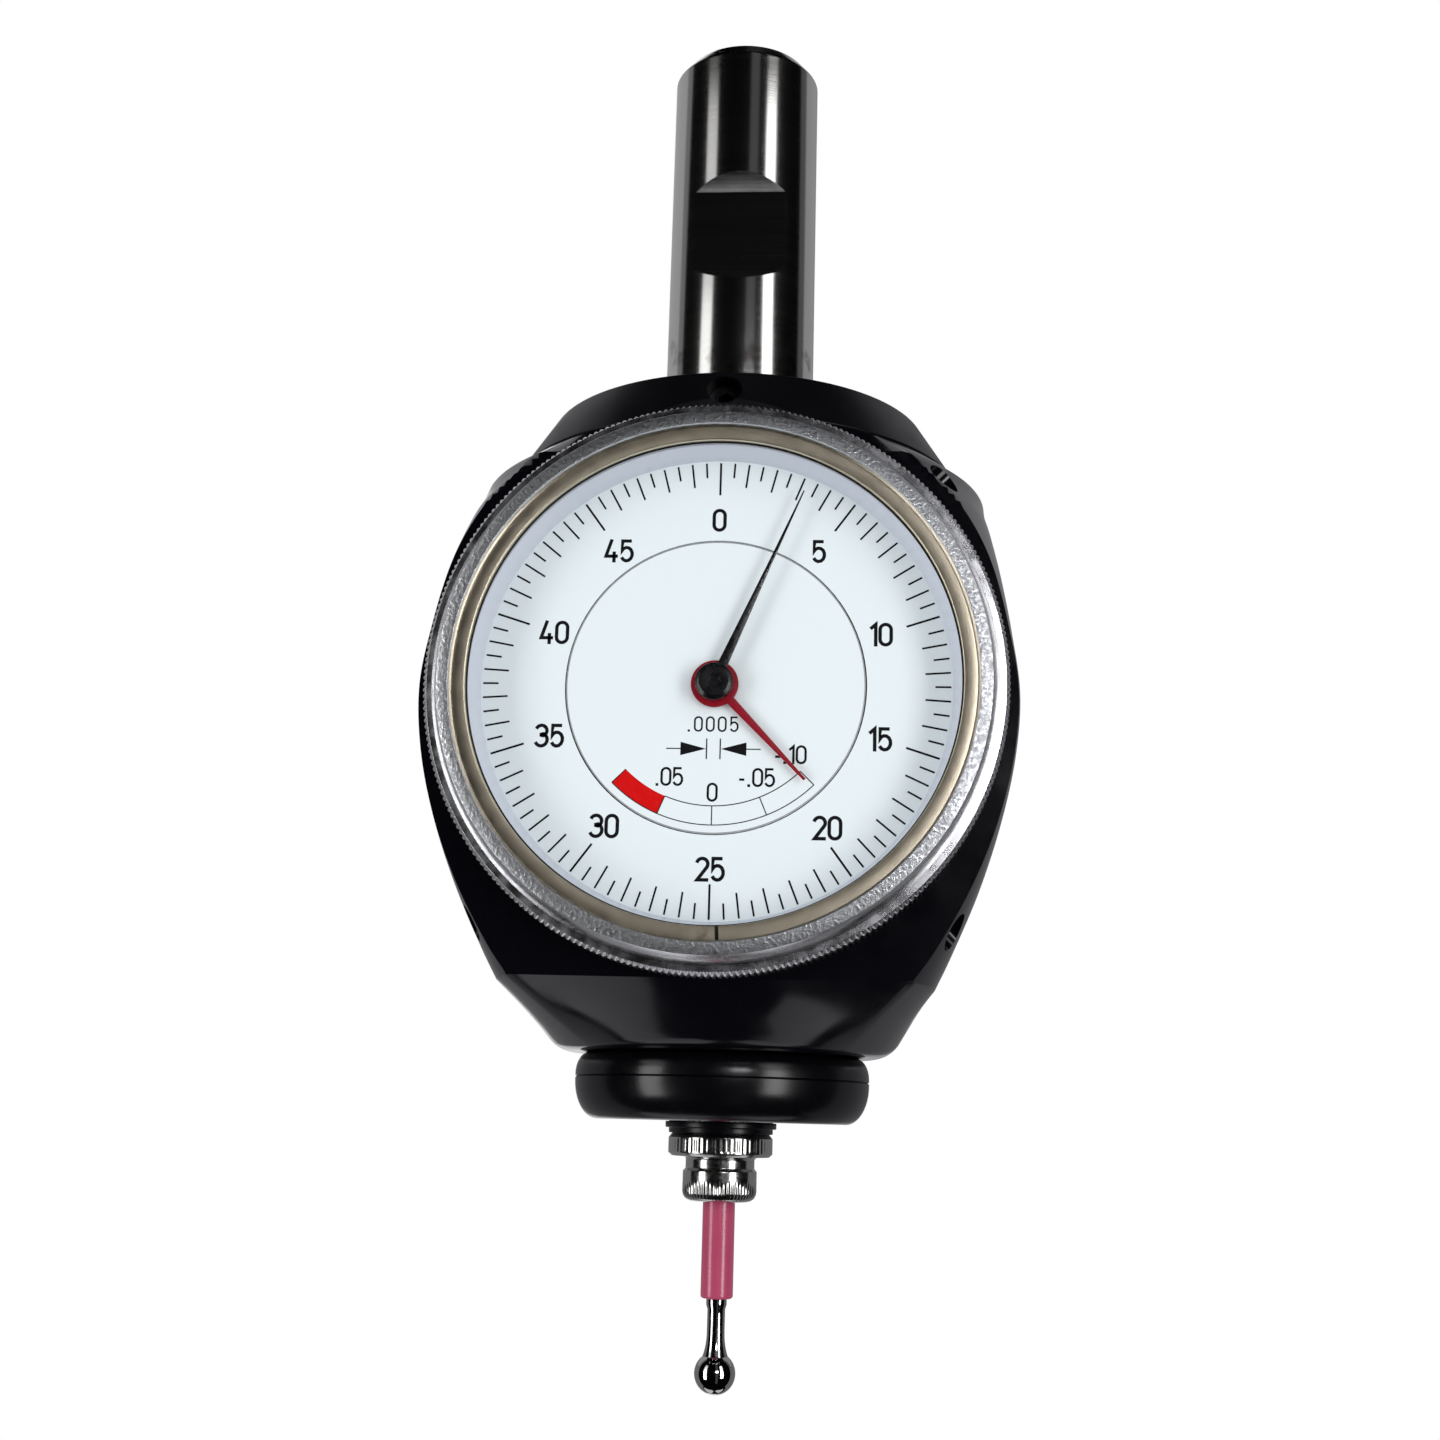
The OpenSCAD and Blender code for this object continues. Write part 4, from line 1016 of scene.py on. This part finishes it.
def wedge(name, outer, inner, middle, z0, z1):
    """A slab of the boot's floor between two radii, one wedge wide."""
    across, deep = 8, 10
    half = pi / FLEX_WEDGES
    verts, faces = [], []
    for z in (z0, z1):
        for i in range(deep + 1):
            r = outer + (inner - outer) * i / deep
            for j in range(across + 1):
                verts.append(axis_z(r, middle - half + 2 * half * j / across, z))
    row, sheet = across + 1, (across + 1) * (deep + 1)
    for i in range(deep):
        for j in range(across):
            a = i * row + j
            faces.append((a, a + 1, a + row + 1, a + row))
            faces.append((a + sheet, a + sheet + row, a + sheet + row + 1, a + sheet + 1))
    sides = [(i * row + j, row) for i in range(deep) for j in (0, across)]
    sides += [(i * row + j, 1) for j in range(across) for i in (0, deep)]
    faces += [(a, a + step, a + step + sheet, a + sheet) for a, step in sides]
    return tidy_mesh(mesh_object(name, verts, faces), 30)


# Probe


def make_holder():
    top, bottom = high("probe_holder")[2], low("probe_holder")[2]
    hub_r, hub_low, neck_r = 5.6, -68.2, 5.15
    collar_r, collar_top, collar_low = 5.5, -71.05, -71.65
    pin_r, pin_reach, joint_z = 0.84, 9, -66
    bore_r, bore_deep = 1.5, 4
    outline = rounded(
        [(0, top), (hub_r, top), (hub_r, hub_low), (neck_r, hub_low), (neck_r, collar_top),
         (collar_r, collar_top), (collar_r, collar_low), (neck_r, collar_low), (neck_r, bottom), (0, bottom)],
        [0.2, 0.15, 0.05, 0.05, 0.1, 0.12, 0.05, 0.1], 4)
    holder = tidy_mesh(lathe("holder_turned", outline, steps=128))
    lying = Matrix.Translation((0, 0, joint_z * MM)) @ Matrix.Rotation(pi / 2, 4, "X")
    pin_hole = turned(rod(pin_r, -pin_reach, pin_reach), lying)
    cut(holder, pin_hole, rod(bore_r, bottom - OVERRUN, bottom + bore_deep))
    stand_for(tidy_mesh(holder, 30), "probe_holder")


KNURLS = 60


def make_nut():
    top, bottom, flange_r = -72.15, low("probe_nut")[2], high("probe_nut")[0]
    neck_r, collar_r, thread_r, thread_l, bore_r, bore_deep = 3.4, 3.65, 1.5, 4, 1.6, 2.8
    flange_low = top - 2.2
    collar_high = flange_low - 1.2
    outline = rounded(
        [(0, top + thread_l), (thread_r, top + thread_l), (thread_r, top), (flange_r - 0.35, top),
         (flange_r, top - 0.4), (flange_r, flange_low + 0.3), (flange_r - 0.3, flange_low),
         (neck_r + 0.3, flange_low), (neck_r, flange_low - 0.25), (neck_r, collar_high + 0.1),
         (collar_r, collar_high - 0.2), (collar_r, bottom), (bore_r, bottom), (bore_r, bottom + bore_deep),
         (0, bottom + bore_deep)],
        [0.05, 0.05, 0.12, 0.12, 0.12, 0.1, 0.3, 0.25, 0.08, 0.15, 1.0, 0.05, 0.05], 6)
    # points close enough for the flutes, along the outer side only
    spacing, outer_side = 0.12, 3
    fine = []
    for (r0, h0), (r1, h1) in zip(outline, outline[1:]):
        parts = max(1, round(abs(h1 - h0) / spacing)) if min(r0, r1) > outer_side else 1
        fine += [(r0 + (r1 - r0) * k / parts, h0 + (h1 - h0) * k / parts) for k in range(parts)]
    fine.append(outline[-1])

    def knurled(r, a, h):
        upper = flange_low + 0.35 < h < top - 0.45 and r > flange_r - 0.02
        lower = bottom + 0.3 < h < collar_high - 0.25 and r > collar_r - 0.45
        if not (upper or lower):
            return r
        flute = 0.5 + 0.5 * cos(KNURLS * a)
        if upper:
            return r - 0.035 * flute
        # the lower collar's flutes run out half way up
        fade = min(1, max(0, (collar_high - 1.1 - h) / 0.8))
        return r - 0.07 * flute * fade

    stand_for(tidy_mesh(lathe("nut_turned", fine, steps=480, radius=knurled), 40), "probe_nut")


def make_stylus():
    r, bottom, top = high("ceramic_rod")[0], low("ceramic_rod")[2], high("ceramic_rod")[2]
    hole = 0.6
    outline = closed_outline([(hole, bottom), (r, bottom), (r, top), (hole, top)], [0.3, 0.15, 0.05], 5)
    stand_for(tidy_mesh(lathe("ceramic_turned", outline, steps=96), 40), "ceramic_rod")
    ball_z = (low("probe_ball")[2] + high("probe_ball")[2]) / 2
    ball_r, rows = high("probe_ball")[0], 48
    ball = []
    for k in range(rows + 1):
        a = pi * k / rows
        ball.append((ball_r * sin(a) if 0 < k < rows else 0, ball_z - ball_r * cos(a)))
    stand_for(tidy_mesh(lathe("ball_polished", ball, steps=96), 60), "probe_ball")
    # the stem flares to a cup on the ball and has a collar against the rod
    collar_r, waist_r, flare_h, flare_rows, bend = 1.0, 0.86, 2.4, 10, 2.4
    waist_low, collar_low, collar_top = bottom - 1.0, bottom - 0.55, bottom - 0.06
    shaft_r, shaft_top = hole - 0.01, high("ball_stem")[2]
    cup = radians(52)
    cup_r, cup_z = ball_r * cos(cup), ball_z + ball_r * sin(cup)
    side = [(0, cup_z)]
    for k in range(flare_rows + 1):
        t = k / flare_rows
        side.append((waist_r + (cup_r - waist_r) * (1 - t) ** bend, cup_z + flare_h * t))
    side += [(waist_r, waist_low), (collar_r, collar_low), (collar_r, collar_top), (shaft_r, bottom),
             (shaft_r, shaft_top), (0, shaft_top)]
    stand_for(tidy_mesh(lathe("stem_turned", side, steps=96), 35), "ball_stem")


def make_spring():
    """The return spring, a round wire coil."""
    low_z, high_z = low("return_spring")[2], high("return_spring")[2]
    wire, coil_r, travel = 0.55, 6.5, 5.08
    turns, sides, rings = 7, 12, 48
    count = turns * rings
    verts = []
    for i in range(count + 1):
        t = i / count
        a = TURN * turns * t
        z = low_z + wire + (high_z - low_z - 2 * wire) * t
        for k in range(sides):
            b = TURN * k / sides
            r = coil_r + wire * cos(b)
            verts.append(axis_z(r, a, z + wire * sin(b)))
    coil = tidy_mesh(mesh_object("return_coil", verts, tube_faces(sides, count)), 50)
    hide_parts("return_spring")
    # its upper end stays with the housing
    dress(coil, "root", LOOKS["spring_steel"])
    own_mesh(coil)


for make in (make_shank, make_cap, make_housing, make_bezel, make_snap_ring, make_crystal, make_reflector,
             make_scale, make_centre_print, make_pointers, make_boot, make_holder, make_nut, make_stylus,
             make_spring):
    make()


# Camera: one axis-angle turn and a place, both found from the dial's circle and the shank
VIEW_TURN = Vector((-0.22058, 0.07230, 0.01845))
CAMERA_PLACE = (12.63, -182.36, -71.04)


def make_camera():
    spin = Matrix.Rotation(VIEW_TURN.length, 3, VIEW_TURN.normalized())
    swap = Matrix(((1, 0, 0), (0, 0, -1), (0, 1, 0)))
    rows = spin @ swap
    axes = Matrix((rows[0], -rows[1], -rows[2])).transposed().to_4x4()
    data = bpy.data.cameras.new("camera")
    data.lens = 45
    data.sensor_width = 36
    data.clip_start = 0.01
    data.clip_end = 10
    camera = add_object("camera", data)
    camera.matrix_world = Matrix.Translation(Vector(CAMERA_PLACE) * MM) @ axes
    bpy.context.scene.camera = camera


# Distance of the lamps from the dial, in metres
LAMP_FAR = 0.6


def area_light(name, azimuth, low_angle, high_angle, width, radiance):
    """An upright lamp round the object. Azimuth counts from the dial's side towards +X, in degrees."""
    a = radians(azimuth)
    z0, z1 = (LAMP_FAR * tan(radians(q)) for q in (low_angle, high_angle))
    aim = Vector((0, 0, DIAL_Z * MM))
    place = aim + Vector((LAMP_FAR * sin(a), -LAMP_FAR * cos(a), (z0 + z1) / 2))
    data = bpy.data.lights.new(name, "AREA")
    data.shape = "RECTANGLE"
    data.size = 2 * LAMP_FAR * tan(radians(width / 2))
    data.size_y = z1 - z0
    data.energy = radiance * pi * data.size * data.size_y
    lamp = add_object(name, data)
    lamp.location = place
    lamp.rotation_euler = (pi / 2, 0, a)


def make_world():
    """White for the camera, for metal and for glass, and a plain soft light for the rest."""
    world = bpy.data.worlds.new("studio")
    bpy.context.scene.world = world
    world.use_nodes = True
    tree = world.node_tree
    tree.nodes.clear()
    out = tree.nodes.new("ShaderNodeOutputWorld")
    soft = add_node(tree, "ShaderNodeBackground", Color=(0.97, 0.985, 1.0, 1), Strength=0.57)
    shown = add_node(tree, "ShaderNodeBackground", Color=(1, 1, 1, 1), Strength=1.0)
    path = tree.nodes.new("ShaderNodeLightPath")
    seen = path.outputs["Is Camera Ray"]
    for name in ("Is Glossy Ray", "Is Transmission Ray"):
        seen = combined(tree, "MAXIMUM", seen, path.outputs[name])
    mix_to(tree, out, seen, soft.outputs[0], shown.outputs[0])


def room_wall(name, start, end, level, low_angle=-90, high_angle=90, far=1.2):
    """A part of the dark room round the lamps, between two azimuths. Only reflections show it."""
    rows, columns = 24, 24
    verts = []
    for i in range(rows + 1):
        up = radians(low_angle + (high_angle - low_angle) * i / rows)
        for k in range(columns + 1):
            a = radians(start + (end - start) * k / columns)
            across = far * cos(up)
            verts.append((across * sin(a), -across * cos(a), far * sin(up)))
    wide = columns + 1
    faces = [(i * wide + k, i * wide + k + 1, (i + 1) * wide + k + 1, (i + 1) * wide + k)
             for i in range(rows) for k in range(columns)]
    wall = mesh_object(name, verts, faces, 1.0)
    look = Look(name, (0, 0, 0), 1.0)
    glow = add_node(look.tree, "ShaderNodeEmission", Color=(level, level, level * 1.04, 1))
    look.link(glow.outputs[0], look.tree.nodes["Material Output"].inputs["Surface"])
    wall.data.materials.append(look.mat)
    wall.visible_camera = False
    wall.visible_diffuse = False
    wall.visible_transmission = False
    wall.visible_shadow = False


# Each wall's name, first and last azimuth and level. Where it isn't full height also its lower and upper
# angle and its distance in metres
ROOM = (
    ("dark_room_left", -97, 10, 0.002),
    ("faint_strip", 10, 24, 0.08),
    ("dark_room_right", 24, 103, 0.002),
    ("wall_right_near", 103, 118, 0.10),
    ("wall_right", 118, 158, 0.34),
    ("wall_right_far", 158, 172, 0.28),
    ("wall_back", 172, 180, 0.5),
    ("wall_left_near", -110, -97, 0.20),
    ("wall_left", -162, -110, 0.41),
    ("low_right", 103, 172, 0.2, -60, 12, 1.15),
    ("low_left", -162, -97, 0.22, -60, 12, 1.15),
    ("front_card", 11, 24, 12, 4, 13, 0.9),
    ("ceiling", -180, 180, 0.002, 52, 90, 1.1),
    ("ground", -180, 180, 0.002, -90, -52, 1.1),
    ("ground_left", -165, -105, 0.8, -82, -56, 1.05),
    ("ground_right", 115, 165, 0.8, -82, -60, 1.05),
)
# Each lamp's name, azimuth, lower and upper angle, width as an angle, and radiance
LAMPS = (
    ("left_core", -52, -30, 14, 18, 4.2),
    ("left_middle", -52, 14, 28, 18, 1.6),
    ("left_top", -52, 28, 38, 18, 0.85),
    ("right_core", 45, -24, 10, 16.5, 5.8),
    ("right_top", 45, 10, 38, 16.5, 2.6),
)

make_camera()
make_world()
for wall_row in ROOM:
    room_wall(*wall_row)
for lamp_row in LAMPS:
    area_light(*lamp_row)

bpy.context.scene.view_settings.view_transform = "Standard"
